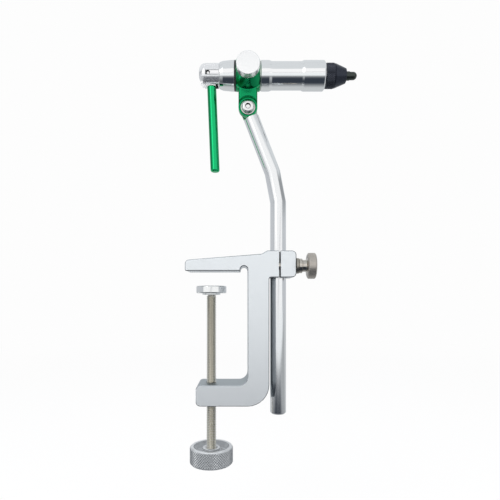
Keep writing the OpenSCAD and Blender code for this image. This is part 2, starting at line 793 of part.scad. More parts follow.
module rear_cap() {
  r = cap_d / 2;
  edge = cap_d * edge_share;
  slot_w = lever_d + 2 * swing_gap;
  slot_front_x = pin_x + lever_offset + lever_d / 2 + swing_gap;
  slot_top = -pin_drop - lever_offset + lever_d / 2 + swing_gap;
  cavity_r = cam_r + cam_slope + swing_gap / 2;
  // the back edge is a quarter circle
  round_points = [for (i = [0 : arc_steps])
    let (a = i * half_turn / 2 / arc_steps)
    [r - cap_round + cap_round * sin(a), cap_back_x + cap_round - cap_round * cos(a)]];
  profile = concat(
    [[0, cap_back_x]], round_points,
    [[r, cap_front_x - edge], [r - edge, cap_front_x], [joint_d / 2, cap_front_x],
      [joint_d / 2, cap_front_x + cap_spigot_l - fit_gap],
      [0, cap_front_x + cap_spigot_l - fit_gap]]);
  color("#dcdde0")
    difference() {
      turned_x(profile);
      barrel_ring(pin_x, rod_bore_d, 0, cap_l + cap_spigot_l);
      // the slot that the lever swings in, from hanging down to pointing back
      translate([pivot_x + cap_back_x - overrun, -slot_w / 2, barrel_z - r - overrun])
        cube([slot_front_x - cap_back_x + overrun, slot_w, r + overrun + slot_top]);
      rod_y(pivot_x + pin_x, -slot_w / 2, barrel_z - pin_drop, slot_w, 2 * cavity_r);
      rod_y(pivot_x + pin_x, -r - overrun, barrel_z - pin_drop, cap_d + 2 * overrun,
        pin_d + 2 * fit_gap);
    }
}

module lever_pin() {
  half_l = sqrt(pow(cap_d / 2, 2) - pow(pin_drop + pin_d, 2));
  edge = pin_d * edge_share * 3;
  color("#b9babb")
    translate([pivot_x + pin_x, -half_l, barrel_z - pin_drop])
      rotate([-90, 0, 0])
        rotate_extrude()
          polygon([[0, 0], [pin_d / 2 - edge, 0], [pin_d / 2, edge],
            [pin_d / 2, 2 * half_l - edge], [pin_d / 2 - edge, 2 * half_l], [0, 2 * half_l]]);
}

module guide_bush()
  color("#b08d4a")
    barrel_ring(bush_x, spring_bore_d - 2 * fit_gap, rod_bore_d, bush_l);

// The spring between the collar and the bush, as the sleeve of space that its coils fill
module return_spring()
  color("#7d8084")
    barrel_ring(spring_x, spring_d, spring_d - 2 * wire_d, spring_l);

// The lever: a cam on the pin and the rod screwed into it

// The cam's distance to a flat face falls steadily as the lever turns, so its edge is an
// involute of the circle whose radius is the slope
function cam_point(a) =
  let (reach = cam_r - cam_slope * a * PI / half_turn)
  [reach * cos(a) + cam_slope * sin(a), reach * sin(a) - cam_slope * cos(a)];

module lever_cam() {
  quarter = half_turn / 2;
  thick = lever_d - fit_gap;
  boss_drop = cap_d / 2 - pin_drop - lever_d * edge_share;
  low_side = [for (i = [0 : arc_steps])
    let (a = -quarter / 2 + i * quarter / 2 / arc_steps)
    [cam_r * cos(a), cam_r * sin(a) - cam_slope]];
  face = [for (i = [1 : arc_steps]) cam_point(i * lever_swing / arc_steps)];
  top_r = cam_r - draw_travel;
  top_side = [for (i = [1 : arc_steps])
    let (a = lever_swing + i * (half_turn - lever_swing) / arc_steps)
    [cam_slope + top_r * cos(a), top_r * sin(a)]];
  foot = [
    [lever_offset - lever_d / 2, -boss_drop],
    [lever_offset + lever_d / 2, -boss_drop]
  ];
  color("#b4b6b9")
    difference() {
      translate([pivot_x + pin_x, 0, barrel_z - pin_drop])
        rotate([90, 0, 0])
          linear_extrude(thick, center = true)
            polygon(concat(low_side, face, top_side, foot));
      rod_y(pivot_x + pin_x, -cap_d / 2, barrel_z - pin_drop, cap_d, pin_d + 2 * run_gap);
      lever_line()
        translate([0, 0, -boss_drop - overrun])
          cylinder(h = boss_drop + overrun + lever_hole_top, d = lever_d / 2 + 2 * fit_gap);
    }
}

// The lever rod's own line: its foot is at the pin's height, +Z up along the rod
module lever_line()
  translate([pivot_x + pin_x + lever_offset, 0, barrel_z - pin_drop])
    rotate([0, -lever_lean, 0])
      children();

module lever_rod() {
  top = cap_d / 2 - pin_drop;
  edge = lever_d * edge_share * 2;
  profile = [
    [0, -lever_l], [lever_d / 2 - edge, -lever_l], [lever_d / 2, -lever_l + edge],
    [lever_d / 2, -top], [lever_d / 4, -top], [lever_d / 4, lever_hole_top - swing_gap],
    [0, lever_hole_top - swing_gap]
  ];
  color("#12804a")
    lever_line()
      rotate_extrude()
        polygon(profile);
}

// The draw rod that pushes the jaws into the cone, and the collar that the spring pushes back

module draw_rod() {
  profile = [
    [0, draw_back_x], [draw_d / 2 - draw_d * edge_share, draw_back_x],
    [draw_d / 2, draw_back_x + draw_d * edge_share],
    [draw_d / 2, draw_front_x - draw_head_l], [draw_head_d / 2, draw_front_x - draw_head_l],
    [draw_head_d / 2, draw_front_x], [0, draw_front_x]
  ];
  color("#8b8e92")
    turned_x(profile);
}

module draw_collar()
  color("#9a9da1")
    barrel_ring(collar_x, collar_d, draw_d + 2 * fit_gap, collar_t);

// The nose: a cone that the jaws close in, and the knurled ring that carries it on the barrel

module nose_cone() {
  guide_r = spring_bore_d / 2 - run_gap;
  guide_x = front_end_x - nose_gap;
  edge = cone_back_d * edge_share / 2;
  // the jaws keep this much room on every side, so that they can spread
  room = (mouth_d - jaw_neck_d) / 2;
  body_r = jaw_body_d / 2 + room;
  profile = [
    [body_r, guide_x], [guide_r, guide_x], [guide_r, cone_x],
    [cone_back_d / 2 - edge, cone_x], [cone_back_d / 2, cone_x + edge],
    [cone_front_d / 2, mouth_x - edge], [cone_front_d / 2 - edge, mouth_x],
    [mouth_d / 2, mouth_x], [mouth_d / 2, taper_end_x], [body_r, taper_x]
  ];
  color("#26292d")
    turned_x(profile);
}

module nose_ring() {
  r = nose_d / 2;
  edge = nose_d * edge_share / 2;
  profile = [
    [nose_spigot_d / 2 + run_gap, nose_x], [r - edge, nose_x], [r, nose_x + edge],
    [r, nose_x + nose_l - edge], [r - edge, nose_x + nose_l],
    [spring_bore_d / 2, nose_x + nose_l], [spring_bore_d / 2, nose_x + nose_l - nose_web],
    [nose_spigot_d / 2 + run_gap, nose_x + nose_l - nose_web]
  ];
  color("#1b1d20")
    turned_x(profile);
}

// The jaws: two halves of one turned shape, a root disc, a body, a taper, a neck and a tip

module jaw(side) {
  root_r = draw_head_d / 2;
  body_r = jaw_body_d / 2;
  neck_r = jaw_neck_d / 2;
  tip_r = jaw_tip_d / 2;
  tip_x = mouth_x + jaw_neck_l;
  // the end of the tip is a quarter of an ellipse
  tip_points = [for (i = [0 : arc_steps])
    let (a = i * half_turn / 2 / arc_steps)
    [tip_r * cos(a), jaw_end_x - tip_r + tip_r * sin(a)]];
  profile = concat(
    [[0, jaw_root_x], [root_r, jaw_root_x], [root_r, jaw_root_x + draw_head_l / 2],
      [body_r, jaw_root_x + draw_head_l], [body_r, taper_x], [neck_r, taper_end_x],
      [neck_r, tip_x], [tip_r, tip_x + neck_r - tip_r]],
    tip_points);
  intersection() {
    turned_x(profile);
    translate([pivot_x, side > 0 ? jaw_gap / 2 : -jaw_gap / 2 - nose_d, barrel_z - nose_d / 2])
      cube([jaw_end_x + overrun, nose_d, nose_d]);
  }
}

module jaw_near()
  color("#2c3230")
    jaw(-1);

module jaw_far()
  color("#2c3230")
    jaw(1);

clamp_frame();
clamp_pad();
pad_clip();
clamp_screw();
clamp_knob();
knob_nut();
thumb_washer();
thumb_screw();
stem_liner();
stem();
pivot_screw();
pivot_nut();
pivot_washer();
lap_washer();
yoke();
thrust_washer();
front_washer();
drag_plug();
drag_knob();
barrel_front();
barrel_sleeve();
rear_cap();
lever_pin();
guide_bush();
return_spring();
lever_cam();
lever_rod();
draw_rod();
draw_collar();
nose_cone();
nose_ring();
jaw_near();
jaw_far();
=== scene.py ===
import math

import bmesh
import bpy
from mathutils import Matrix, Vector


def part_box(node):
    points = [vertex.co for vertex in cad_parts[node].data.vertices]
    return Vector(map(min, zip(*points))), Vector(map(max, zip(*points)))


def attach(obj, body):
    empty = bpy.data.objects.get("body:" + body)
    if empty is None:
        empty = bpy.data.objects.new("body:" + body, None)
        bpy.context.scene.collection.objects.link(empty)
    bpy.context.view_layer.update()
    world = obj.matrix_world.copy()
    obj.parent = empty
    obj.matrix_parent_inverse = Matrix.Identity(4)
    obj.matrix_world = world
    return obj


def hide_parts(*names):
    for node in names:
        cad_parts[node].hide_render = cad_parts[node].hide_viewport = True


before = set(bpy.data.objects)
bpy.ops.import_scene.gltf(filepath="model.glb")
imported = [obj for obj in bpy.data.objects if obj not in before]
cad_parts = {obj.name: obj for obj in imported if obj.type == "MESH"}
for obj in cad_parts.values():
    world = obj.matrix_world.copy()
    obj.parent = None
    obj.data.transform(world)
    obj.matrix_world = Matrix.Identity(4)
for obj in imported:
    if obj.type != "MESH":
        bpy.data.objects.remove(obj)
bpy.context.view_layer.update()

# The camera stands level in front of the vise, a little under the height of the stem block,
# about 26 cm from its middle plane. The vise's lengths and the camera's place are written in
# millimetres and turned into metres by MM. The studio's lengths are in metres.
MM = 0.001
camera = bpy.data.objects.new("camera", bpy.data.cameras.new("camera"))
bpy.context.scene.collection.objects.link(camera)
camera.location = (20.3 * MM, -262.6 * MM, -14.1 * MM)
camera.rotation_euler = (math.radians(90), 0, 0)
camera.data.sensor_width = 36
camera.data.lens = 31.25
camera.data.shift_x = 0.010
camera.data.shift_y = 0.090
camera.data.clip_start = 0.01
bpy.context.scene.camera = camera
bpy.context.scene.view_settings.view_transform = "Standard"


# The studio: a pale floor, a white backdrop and three large soft lamps. Polished metal sees a
# window with a post and a sash, a bright strip to its left, dark cards high up on both sides,
# light grey walls, and a floor that darkens towards the vise.
def add_node(tree, kind, **settings):
    node = tree.nodes.new(kind)
    for key, value in settings.items():
        setattr(node, key, value)
    return node


def feed(tree, socket, value):
    if isinstance(value, bpy.types.NodeSocket):
        tree.links.new(value, socket)
    else:
        socket.default_value = value


def calc(tree, operation, *values, clamp=False):
    node = add_node(tree, "ShaderNodeMath", operation=operation, use_clamp=clamp)
    for socket, value in zip(node.inputs, values):
        feed(tree, socket, value)
    return node.outputs[0]


def times(tree, a, b):
    return calc(tree, "MULTIPLY", a, b)


def all_but(tree, value):
    return calc(tree, "SUBTRACT", 1.0, value)


def ramp_up(tree, value, low, high):
    node = add_node(tree, "ShaderNodeMapRange", interpolation_type="SMOOTHSTEP")
    feed(tree, node.inputs["Value"], value)
    node.inputs["From Min"].default_value = low
    node.inputs["From Max"].default_value = high
    return node.outputs["Result"]


def blend_colours(tree, share, a, b):
    node = add_node(tree, "ShaderNodeMix", data_type="RGBA")
    feed(tree, node.inputs["Factor"], share)
    feed(tree, node.inputs["A"], a)
    feed(tree, node.inputs["B"], b)
    return node.outputs["Result"]


def band(tree, value, low, high, soft):
    """One between low and high, and zero outside them, with soft edges."""
    return times(tree, ramp_up(tree, value, low - soft, low),
                 all_but(tree, ramp_up(tree, value, high, high + soft)))


world = bpy.data.worlds.new("studio")
bpy.context.scene.world = world
world.use_nodes = True
sky = world.node_tree
sky.nodes.clear()
ray = add_node(sky, "ShaderNodeLightPath").outputs
look = add_node(sky, "ShaderNodeSeparateXYZ")
sky.links.new(add_node(sky, "ShaderNodeTexCoord").outputs["Generated"], look.inputs[0])
rise = look.outputs["Z"]
level = calc(sky, "SQRT", calc(sky, "SUBTRACT", 1.0001, calc(sky, "POWER", rise, 2.0)))
ahead = times(sky, calc(sky, "DIVIDE", look.outputs["Y"], level), -1.0)
aside = calc(sky, "DIVIDE", look.outputs["X"], level)
window = times(sky, ramp_up(sky, ahead, 0.40, 0.62), all_but(sky, ramp_up(sky, rise, 0.47, 0.54)))
leaning = calc(sky, "SUBTRACT", aside, times(sky, rise, 3.2))
post = times(sky, band(sky, leaning, -0.10, 0.04, 0.05),
             all_but(sky, ramp_up(sky, rise, 0.10, 0.30)))
sash = band(sky, ahead, 0.33, 0.40, 0.04)
strip = times(sky, band(sky, aside, -0.62, -0.46, 0.06),
              times(sky, ramp_up(sky, ahead, 0.0, 0.2), band(sky, rise, 0.2, 0.6, 0.1)))
cards = times(sky, ramp_up(sky, calc(sky, "ABSOLUTE", aside), 0.60, 0.80),
              band(sky, rise, 0.24, 0.44, 0.06))
wall = blend_colours(sky, ramp_up(sky, rise, 0.0, 0.5), (0.60, 0.62, 0.65, 1.0),
                     (0.74, 0.77, 0.79, 1.0))
wall = blend_colours(sky, times(sky, cards, 0.7), wall, (0.20, 0.21, 0.22, 1.0))
daylight = blend_colours(sky, times(sky, post, 0.5), (1.06, 1.06, 1.06, 1.0),
                         (0.36, 0.37, 0.40, 1.0))
seen = blend_colours(sky, window, wall, daylight)
seen = blend_colours(sky, times(sky, sash, 0.35), seen, (0.30, 0.31, 0.33, 1.0))
seen = blend_colours(sky, strip, seen, (2.2, 2.2, 2.2, 1.0))
room = blend_colours(sky, ray["Is Glossy Ray"], (0.50, 0.51, 0.53, 1.0), seen)
BACKDROP = (0.983, 0.983, 0.983, 1.0)
whole = blend_colours(sky, ray["Is Camera Ray"], room, BACKDROP)
surround = add_node(sky, "ShaderNodeBackground")
sky.links.new(whole, surround.inputs["Color"])
sky.links.new(surround.outputs[0], add_node(sky, "ShaderNodeOutputWorld").inputs["Surface"])

LIT_POINT = Vector((0.03, 0, 0.02))
for label, place, size, power in (
        ("key", (-0.55, -0.75, 0.80), 0.90, 9.0),
        ("fill", (0.80, -0.60, 0.30), 0.90, 4.5),
        ("top", (0.05, 0.10, 1.10), 1.10, 9.0)):
    lamp = bpy.data.objects.new(label, bpy.data.lights.new(label, "AREA"))
    bpy.context.scene.collection.objects.link(lamp)
    lamp.location = place
    lamp.rotation_euler = (Vector(place) - LIT_POINT).to_track_quat("Z", "Y").to_euler()
    lamp.data.size = size
    lamp.data.energy = power
    lamp.visible_glossy = False

FLOOR_Z, FLOOR_HALF = -168.5 * MM, 4
floor = bpy.data.objects.new("floor", bpy.data.meshes.new("floor"))
bpy.context.scene.collection.objects.link(floor)
floor.data.from_pydata([(x * FLOOR_HALF, y * FLOOR_HALF, FLOOR_Z)
                        for x, y in ((-1, -1), (1, -1), (1, 1), (-1, 1))], [], [(0, 1, 2, 3)])
paper = bpy.data.materials.new("floor_paper")
paper.use_nodes = True
sheet = paper.node_tree
sheet.nodes.clear()
ray = add_node(sheet, "ShaderNodeLightPath").outputs
where = add_node(sheet, "ShaderNodeTexCoord").outputs["Object"]
spot = add_node(sheet, "ShaderNodeSeparateXYZ")
sheet.links.new(where, spot.inputs[0])
across, deep = spot.outputs["X"], spot.outputs["Y"]
# In reflections the floor is not lit but glows with a painted colour: near black close to the vise,
# pale further off, and a patch brighter than white to the left front that paints a highlight on the
# stem.
towards = calc(sheet, "DIVIDE", calc(sheet, "SUBTRACT", -0.10, deep), 0.65, clamp=True)
front = calc(sheet, "POWER", towards, 2.5)
behind = times(sheet, ramp_up(sheet, deep, -0.12, 0.20), 0.62)
beside = times(sheet, ramp_up(sheet, calc(sheet, "ABSOLUTE", across), 0.12, 0.40), 0.44)
pale = calc(sheet, "MAXIMUM", calc(sheet, "MAXIMUM", front, behind),
            calc(sheet, "MAXIMUM", beside, 0.04))
painted_highlight_patch = times(sheet, band(sheet, across, -0.52, -0.40, 0.03),
                 band(sheet, deep, 0.06, 0.24, 0.05))
mirrored = blend_colours(sheet, pale, (0.0, 0.008, 0.024, 1), (0.96, 0.99, 1.0, 1))
mirrored = blend_colours(sheet, painted_highlight_patch, mirrored, (2.2, 2.2, 2.2, 1))
glow = add_node(sheet, "ShaderNodeEmission")
feed(sheet, glow.inputs["Color"], blend_colours(sheet, ray["Is Glossy Ray"], BACKDROP, mirrored))
plain = add_node(sheet, "ShaderNodeBsdfDiffuse")
plain.inputs["Color"].default_value = (0.86, 0.86, 0.87, 1)
away = add_node(sheet, "ShaderNodeVectorMath", operation="LENGTH")
sheet.links.new(where, away.inputs[0])
even = calc(sheet, "ADD", 0.9, times(sheet, ramp_up(sheet, away.outputs["Value"], 0.2, 1.2), 0.1))
lift = add_node(sheet, "ShaderNodeMixShader")
feed(sheet, lift.inputs["Fac"], calc(sheet, "MAXIMUM", times(sheet, ray["Is Camera Ray"], even),
                                     ray["Is Glossy Ray"]))
sheet.links.new(plain.outputs[0], lift.inputs[1])
sheet.links.new(glow.outputs[0], lift.inputs[2])
sheet.links.new(lift.outputs[0], add_node(sheet, "ShaderNodeOutputMaterial").inputs["Surface"])
floor.data.materials.append(paper)


# The clamp's frame is sawn and milled from 21 mm aluminium bar, then bead blasted and clear
# anodised. The stem block is bored and slit from the front, and every edge has a small machined
# chamfer. The throat and the post's outer face keep their milling marks under painted shade, and
# the chamfers that face down or to the right are painted near black as shade.
def unit(v):
    return v / v.length


def rounded(points, radii, steps=8):
    out = []
    count = len(points)
    for i, r in enumerate(radii):
        before, corner, after = (Vector(points[(i + k) % count]) for k in (-1, 0, 1))
        if r == 0:
            out.append(tuple(corner))
            continue
        u, v = unit(before - corner), unit(after - corner)
        half = math.acos(max(-1, min(1, u.dot(v)))) / 2
        centre = corner + unit(u + v) * r / math.sin(half)
        start = corner + u * r / math.tan(half) - centre
        swing = math.copysign(math.pi - 2 * half, v.x * u.y - v.y * u.x)
        for k in range(steps + 1):
            a = swing * k / steps
            out.append((centre.x + start.x * math.cos(a) - start.y * math.sin(a),
                        centre.y + start.x * math.sin(a) + start.y * math.cos(a)))
    return out


def arc(centre, radius, begin, end, steps):
    return [(centre[0] + radius * math.cos(math.radians(begin + (end - begin) * k / steps)),
             centre[1] + radius * math.sin(math.radians(begin + (end - begin) * k / steps)))
            for k in range(steps + 1)]


def as_object(name, shape):
    bmesh.ops.remove_doubles(shape, verts=shape.verts, dist=1e-7)
    bmesh.ops.recalc_face_normals(shape, faces=shape.faces)
    mesh = bpy.data.meshes.new(name)
    shape.to_mesh(mesh)
    shape.free()
    thing = bpy.data.objects.new(name, mesh)
    bpy.context.scene.collection.objects.link(thing)
    return thing


def slab(name, outline, y_low, y_high):
    shape = bmesh.new()
    front = [shape.verts.new((x * MM, y_low * MM, z * MM)) for x, z in outline]
    back = [shape.verts.new((x * MM, y_high * MM, z * MM)) for x, z in outline]
    shape.faces.new(front)
    shape.faces.new(list(reversed(back)))
    for i in range(len(front)):
        k = (i + 1) % len(front)
        shape.faces.new((front[k], front[i], back[i], back[k]))
    return as_object(name, shape)


def turned(name, profile, start, along, steps=128):
    """A body of revolution: profile holds (radius, distance along the axis) pairs."""
    axis = unit(Vector(along))
    u = axis.orthogonal().normalized() if abs(axis.x) < 0.9 else Vector((0, 1, 0))
    if abs(axis.z) > 0.9:
        u = Vector((1, 0, 0))
    w = axis.cross(u)
    origin = Vector(start)
    shape = bmesh.new()
    rings = []
    for radius, distance in profile:
        centre = origin + axis * distance
        if radius < 1e-6:
            rings.append([shape.verts.new(centre * MM)])
        else:
            rings.append([shape.verts.new(
                (centre + (u * math.cos(a) + w * math.sin(a)) * radius) * MM)
                for a in (2 * math.pi * k / steps for k in range(steps))])
    pairs = list(zip(rings, rings[1:]))
    if len(rings[0]) > 1:
        pairs.append((rings[-1], rings[0]))
    for one, two in pairs:
        for k in range(steps):
            m = (k + 1) % steps
            corners = [one[k % len(one)], one[m % len(one)], two[m % len(two)], two[k % len(two)]]
            corners = list(dict.fromkeys(corners))
            if len(corners) > 2:
                shape.faces.new(corners)
    return as_object(name, shape)


def bake(thing):
    graph = bpy.context.evaluated_depsgraph_get()
    mesh = bpy.data.meshes.new_from_object(thing.evaluated_get(graph), depsgraph=graph)
    thing.modifiers.clear()
    thing.data = mesh
    return thing


def paint(thing, *materials):
    for material in materials:
        thing.data.materials.append(material)


def cut(thing, cutters, operation="DIFFERENCE"):
    kept = [m for m in thing.data.materials if m]
    for cutter in cutters:
        step = thing.modifiers.new("cut", "BOOLEAN")
        step.operation = operation
        step.solver = "MANIFOLD"
        step.object = cutter
    bake(thing)
    for cutter in cutters:
        bpy.data.objects.remove(cutter)
    thing.data.materials.clear()
    paint(thing, *kept)
    thing.data.polygons.foreach_set("material_index", [0] * len(thing.data.polygons))
    return thing


def edge_break(thing, width, limit, material=-1, spared=None):
    """Chamfers the edges sharper than limit degrees, apart from those that spared(middle) names."""
    shape = bmesh.new()
    shape.from_mesh(thing.data)
    weights = [0.0] * len(shape.edges)
    for k, edge in enumerate(shape.edges):
        middle = (edge.verts[0].co + edge.verts[1].co) / 2
        if len(edge.link_faces) == 2 and edge.calc_face_angle() > math.radians(limit):
            weights[k] = 0.0 if spared and spared(middle) else 1.0
    shape.free()
    marked = thing.data.attributes.new("bevel_weight_edge", "FLOAT", "EDGE")
    marked.data.foreach_set("value", weights)
    step = thing.modifiers.new("edges", "BEVEL")
    step.width = width * MM
    step.segments = 1
    step.limit_method = "WEIGHT"
    step.use_clamp_overlap = False
    step.material = material
    return bake(thing)


def smooth(thing, limit=32):
    thing.data.polygons.foreach_set("use_smooth", [True] * len(thing.data.polygons))
    thing.data.set_sharp_from_angle(angle=math.radians(limit))
    step = thing.modifiers.new("normals", "WEIGHTED_NORMAL")
    step.keep_sharp = True
    return bake(thing)


def finish(thing, body, slot, *nodes):
    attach(thing, body)
    if nodes:
        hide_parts(*nodes)
    return thing


def metal(name, colour, roughness, metallic=1.0, grain=0.0, grain_scale=4000.0, lines=None,
          line_scale=3000.0, line_depth=0.0, line_tone=0.0, coat=0.0, tone=0.06,
          smudge=0.05, centre=(0, 0, 0)):
    """A metal finish. grain is the depth of blasted pits in mm. lines is the axis of turning or
    brushing marks, which ring round that axis, line_depth is their depth in mm and line_tone
    their share in the colour. tone is the share of patches in the colour, and smudge that of
    wear in the roughness. centre is a point on the axis, in mm."""
    material = bpy.data.materials.new(name)
    material.use_nodes = True
    tree = material.node_tree
    shader = tree.nodes["Principled BSDF"]
    shader.inputs["Metallic"].default_value = metallic
    if coat:
        shader.inputs["Coat Weight"].default_value = coat
        shader.inputs["Coat Roughness"].default_value = 0.08
    centred = add_node(tree, "ShaderNodeMapping", vector_type="POINT")
    tree.links.new(add_node(tree, "ShaderNodeTexCoord").outputs["Object"], centred.inputs["Vector"])
    centred.inputs["Location"].default_value = [-c * MM for c in centre]

    def noise(scale, detail, rough=0.5, stretch=(1, 1, 1)):
        """Clouds of a given number a metre, from minus a half to plus a half."""
        turn = add_node(tree, "ShaderNodeMapping", vector_type="POINT")
        tree.links.new(centred.outputs[0], turn.inputs["Vector"])
        turn.inputs["Scale"].default_value = stretch
        cloud = add_node(tree, "ShaderNodeTexNoise")
        tree.links.new(turn.outputs[0], cloud.inputs["Vector"])
        cloud.inputs["Scale"].default_value = scale
        cloud.inputs["Detail"].default_value = detail
        cloud.inputs["Roughness"].default_value = rough
        return calc(tree, "SUBTRACT", cloud.outputs["Fac"], 0.5)

    shade = times(tree, noise(90.0, 4.0), tone)
    height, depth = None, 0.0
    if grain:
        height, depth = noise(grain_scale, 2.0), grain
    if lines is not None:
        marks = noise(line_scale, 3.0, 0.7, [1.0 if k == lines else 0.012 for k in range(3)])
        if line_tone:
            shade = calc(tree, "ADD", shade, times(tree, marks, line_tone))
        if line_depth:
            height, depth = marks, line_depth
    colour_low = tuple(c * 0.80 for c in colour) + (1,)
    colour_high = tuple(min(1.0, c * 1.12) for c in colour) + (1,)
    share = calc(tree, "ADD", shade, 0.6, clamp=True)
    feed(tree, shader.inputs["Base Color"], blend_colours(tree, share, colour_low, colour_high))
    worn = times(tree, noise(420.0, 5.0, 0.65), smudge * 2)
    feed(tree, shader.inputs["Roughness"], calc(tree, "ADD", worn, roughness, clamp=True))
    if height is not None:
        bump = add_node(tree, "ShaderNodeBump")
        bump.inputs["Strength"].default_value = 1.0
        bump.inputs["Distance"].default_value = depth * MM
        tree.links.new(height, bump.inputs["Height"])
        tree.links.new(bump.outputs[0], shader.inputs["Normal"])
    return material


STEM_X, BORE_R = 40.3125, 5.4625
FRAME_HALF, CHAMFER, BLAST = 10.5, 0.42, 5200.0
THUMB_Y, THUMB_Z, THUMB_HOLE_R = -7.6625, 3.0, 2.05
BLOCK_OUT, BLOCK_TOP, BLOCK_LOW = STEM_X + 9.9, 11.8, -3.8
POST_IN, POST_OUT = 21.85, 34.45
TOP_ARM_END, LOW_ARM_END, LOW_ARM_TOP, LOW_ARM_LOW = -14.7, -8.4, -66.7, -79.0
NOTCH_R, NOTCH_Z = 2.15, 0.7
SLIT_LOW, SLIT_HIGH = STEM_X - 0.35, STEM_X + 0.9
blasted = metal("blasted_aluminium", (0.755, 0.785, 0.805), 0.40, metallic=0.7, grain=0.012,
                grain_scale=BLAST, tone=0.10, smudge=0.05)
chamfered = metal("milled_edge", (0.60, 0.63, 0.66), 0.24, metallic=0.95, grain=0.004,
                  grain_scale=BLAST, tone=0.08)

frame_line = rounded(
    [(TOP_ARM_END, 0), (TOP_ARM_END, 6.4), (30.15, 9.9), (33.25, BLOCK_TOP),
     (BLOCK_OUT, BLOCK_TOP), (BLOCK_OUT, BLOCK_LOW), (POST_OUT, BLOCK_LOW),
     (POST_OUT, LOW_ARM_LOW), (LOW_ARM_END, LOW_ARM_LOW), (LOW_ARM_END, LOW_ARM_TOP),
     (POST_IN, LOW_ARM_TOP), (POST_IN, NOTCH_Z)],
    [0.8, 2.6, 0.8, 0.8, 2.6, 2.6, 1.1, 12.59, 2.6, 2.6, 5.2, 0])
frame_line += arc((POST_IN - NOTCH_R, NOTCH_Z), NOTCH_R, 0, 180, 16)[1:]
frame_line += [(POST_IN - 2 * NOTCH_R, 0)]
clamp_frame = slab("frame_body", frame_line, -FRAME_HALF, FRAME_HALF)
cut(clamp_frame, [
    turned("bore", [(0, -6), (BORE_R, -6), (BORE_R, 14), (0, 14)], (STEM_X, 0, 0), (0, 0, 1), 96),
    slab("slit", [(SLIT_LOW, -6), (SLIT_HIGH, -6), (SLIT_HIGH, 14), (SLIT_LOW, 14)], -12, -2),
    turned("thumb_hole", [(0, -6.55), (THUMB_HOLE_R, -6.55), (THUMB_HOLE_R, 12), (0, 12)],
           (STEM_X, THUMB_Y, THUMB_Z), (1, 0, 0), 48),
    turned("screw_hole", [(0, -80), (3.0, -80), (3.0, -65), (0, -65)], (0, 0, 0), (0, 0, 1), 64)])
paint(clamp_frame, blasted, chamfered,
      metal("milled_throat_painted_shade", (0.46, 0.50, 0.525), 0.45, lines=1, line_depth=0.004,
            line_tone=0.15, tone=0.08),
      metal("chamfer_painted_shade", (0.16, 0.175, 0.19), 0.35, metallic=0.8, grain=0.004,
            grain_scale=BLAST, tone=0.08))
edge_break(clamp_frame, CHAMFER, limit=40, material=1,
           spared=lambda spot: SLIT_LOW - 0.05 < spot.x / MM < SLIT_HIGH + 0.05)
# Painted shade: the throat's upward faces and the post's face beside the stem take a darker copy of
# the finish, and the chamfers facing down or right a near-black one.
for face in clamp_frame.data.polygons:
    throat = face.normal.z > 0.05 and face.center.z < -60 * MM
    beside_stem = face.normal.x > 0.5 and face.center.z < BLOCK_LOW * MM
    if face.material_index == 0 and (throat or beside_stem):
        face.material_index = 2
    elif face.material_index == 1 and (face.normal.z < -0.3 or face.normal.x > 0.3):
        face.material_index = 3
smooth(clamp_frame)
finish(clamp_frame, "frame", "blasted_aluminium", "clamp_frame")

# The clamp screw is M6 stainless rod, rolled full length, with a plain spigot turned on its
# top end. The thread is one ridge wound round the core, a millimetre a turn.
def tree_of(name, inputs):
    tree = bpy.data.node_groups.new(name, "GeometryNodeTree")
    tree.interface.new_socket("Geometry", in_out="INPUT", socket_type="NodeSocketGeometry")
    for label, kind, value in inputs:
        socket = tree.interface.new_socket(label, in_out="INPUT", socket_type="NodeSocket" + kind)
        if value is not None:
            socket.default_value = value
    tree.interface.new_socket("Geometry", in_out="OUTPUT", socket_type="NodeSocketGeometry")
    return tree, add_node(tree, "NodeGroupInput").outputs, add_node(tree, "NodeGroupOutput").inputs


def grow(thing, tree, **values):
    """Runs a node tree on an object with its named inputs set, and keeps the result as a mesh."""
    step = thing.modifiers.new(tree.name, "NODES")
    step.node_group = tree
    for socket in tree.interface.items_tree:
        if socket.in_out == "INPUT" and socket.name in values:
            step[socket.identifier] = values[socket.name]
    return bake(thing)


def sweep(tree, curve, given_sides, given_radius):
    """A round section swept along a curve, with closed ends."""
    circle = add_node(tree, "GeometryNodeCurvePrimitiveCircle", mode="RADIUS")
    tree.links.new(given_sides, circle.inputs["Resolution"])
    tree.links.new(given_radius, circle.inputs["Radius"])
    swept = add_node(tree, "GeometryNodeCurveToMesh")
    tree.links.new(curve, swept.inputs["Curve"])
    tree.links.new(circle.outputs[0], swept.inputs["Profile Curve"])
    swept.inputs["Fill Caps"].default_value = True
    return swept.outputs[0]


def close_tree(tree, geometry, given, result):
    """Ends a tree in Realize Instances and Set Material."""
    real = add_node(tree, "GeometryNodeRealizeInstances")
    tree.links.new(geometry, real.inputs[0])
    dressed = add_node(tree, "GeometryNodeSetMaterial")
    tree.links.new(real.outputs[0], dressed.inputs["Geometry"])
    tree.links.new(given["Finish"], dressed.inputs["Material"])
    tree.links.new(dressed.outputs[0], result[0])


coil_tree, given, result = tree_of("coil", [
    ("Coil radius", "Float", 0.0025), ("Pitch", "Float", 0.001), ("Turns", "Float", 10.0),
    ("Ridge radius", "Float", 0.0005), ("Ridge sides", "Int", 4), ("Steps a turn", "Int", 32),
    ("Finish", "Material", None)])
spiral = add_node(coil_tree, "GeometryNodeCurveSpiral")
for label, into in (("Steps a turn", "Resolution"), ("Turns", "Rotations"),
                    ("Coil radius", "Start Radius"), ("Coil radius", "End Radius")):
    coil_tree.links.new(given[label], spiral.inputs[into])
coil_tree.links.new(times(coil_tree, given["Turns"], given["Pitch"]), spiral.inputs["Height"])
upright = add_node(coil_tree, "GeometryNodeSetCurveNormal", mode="Z_UP")
coil_tree.links.new(spiral.outputs[0], upright.inputs["Curve"])
close_tree(coil_tree, sweep(coil_tree, upright.outputs[0], given["Ridge sides"],
                            given["Ridge radius"]), given, result)


def empty_object(name):
    return as_object(name, bmesh.new())


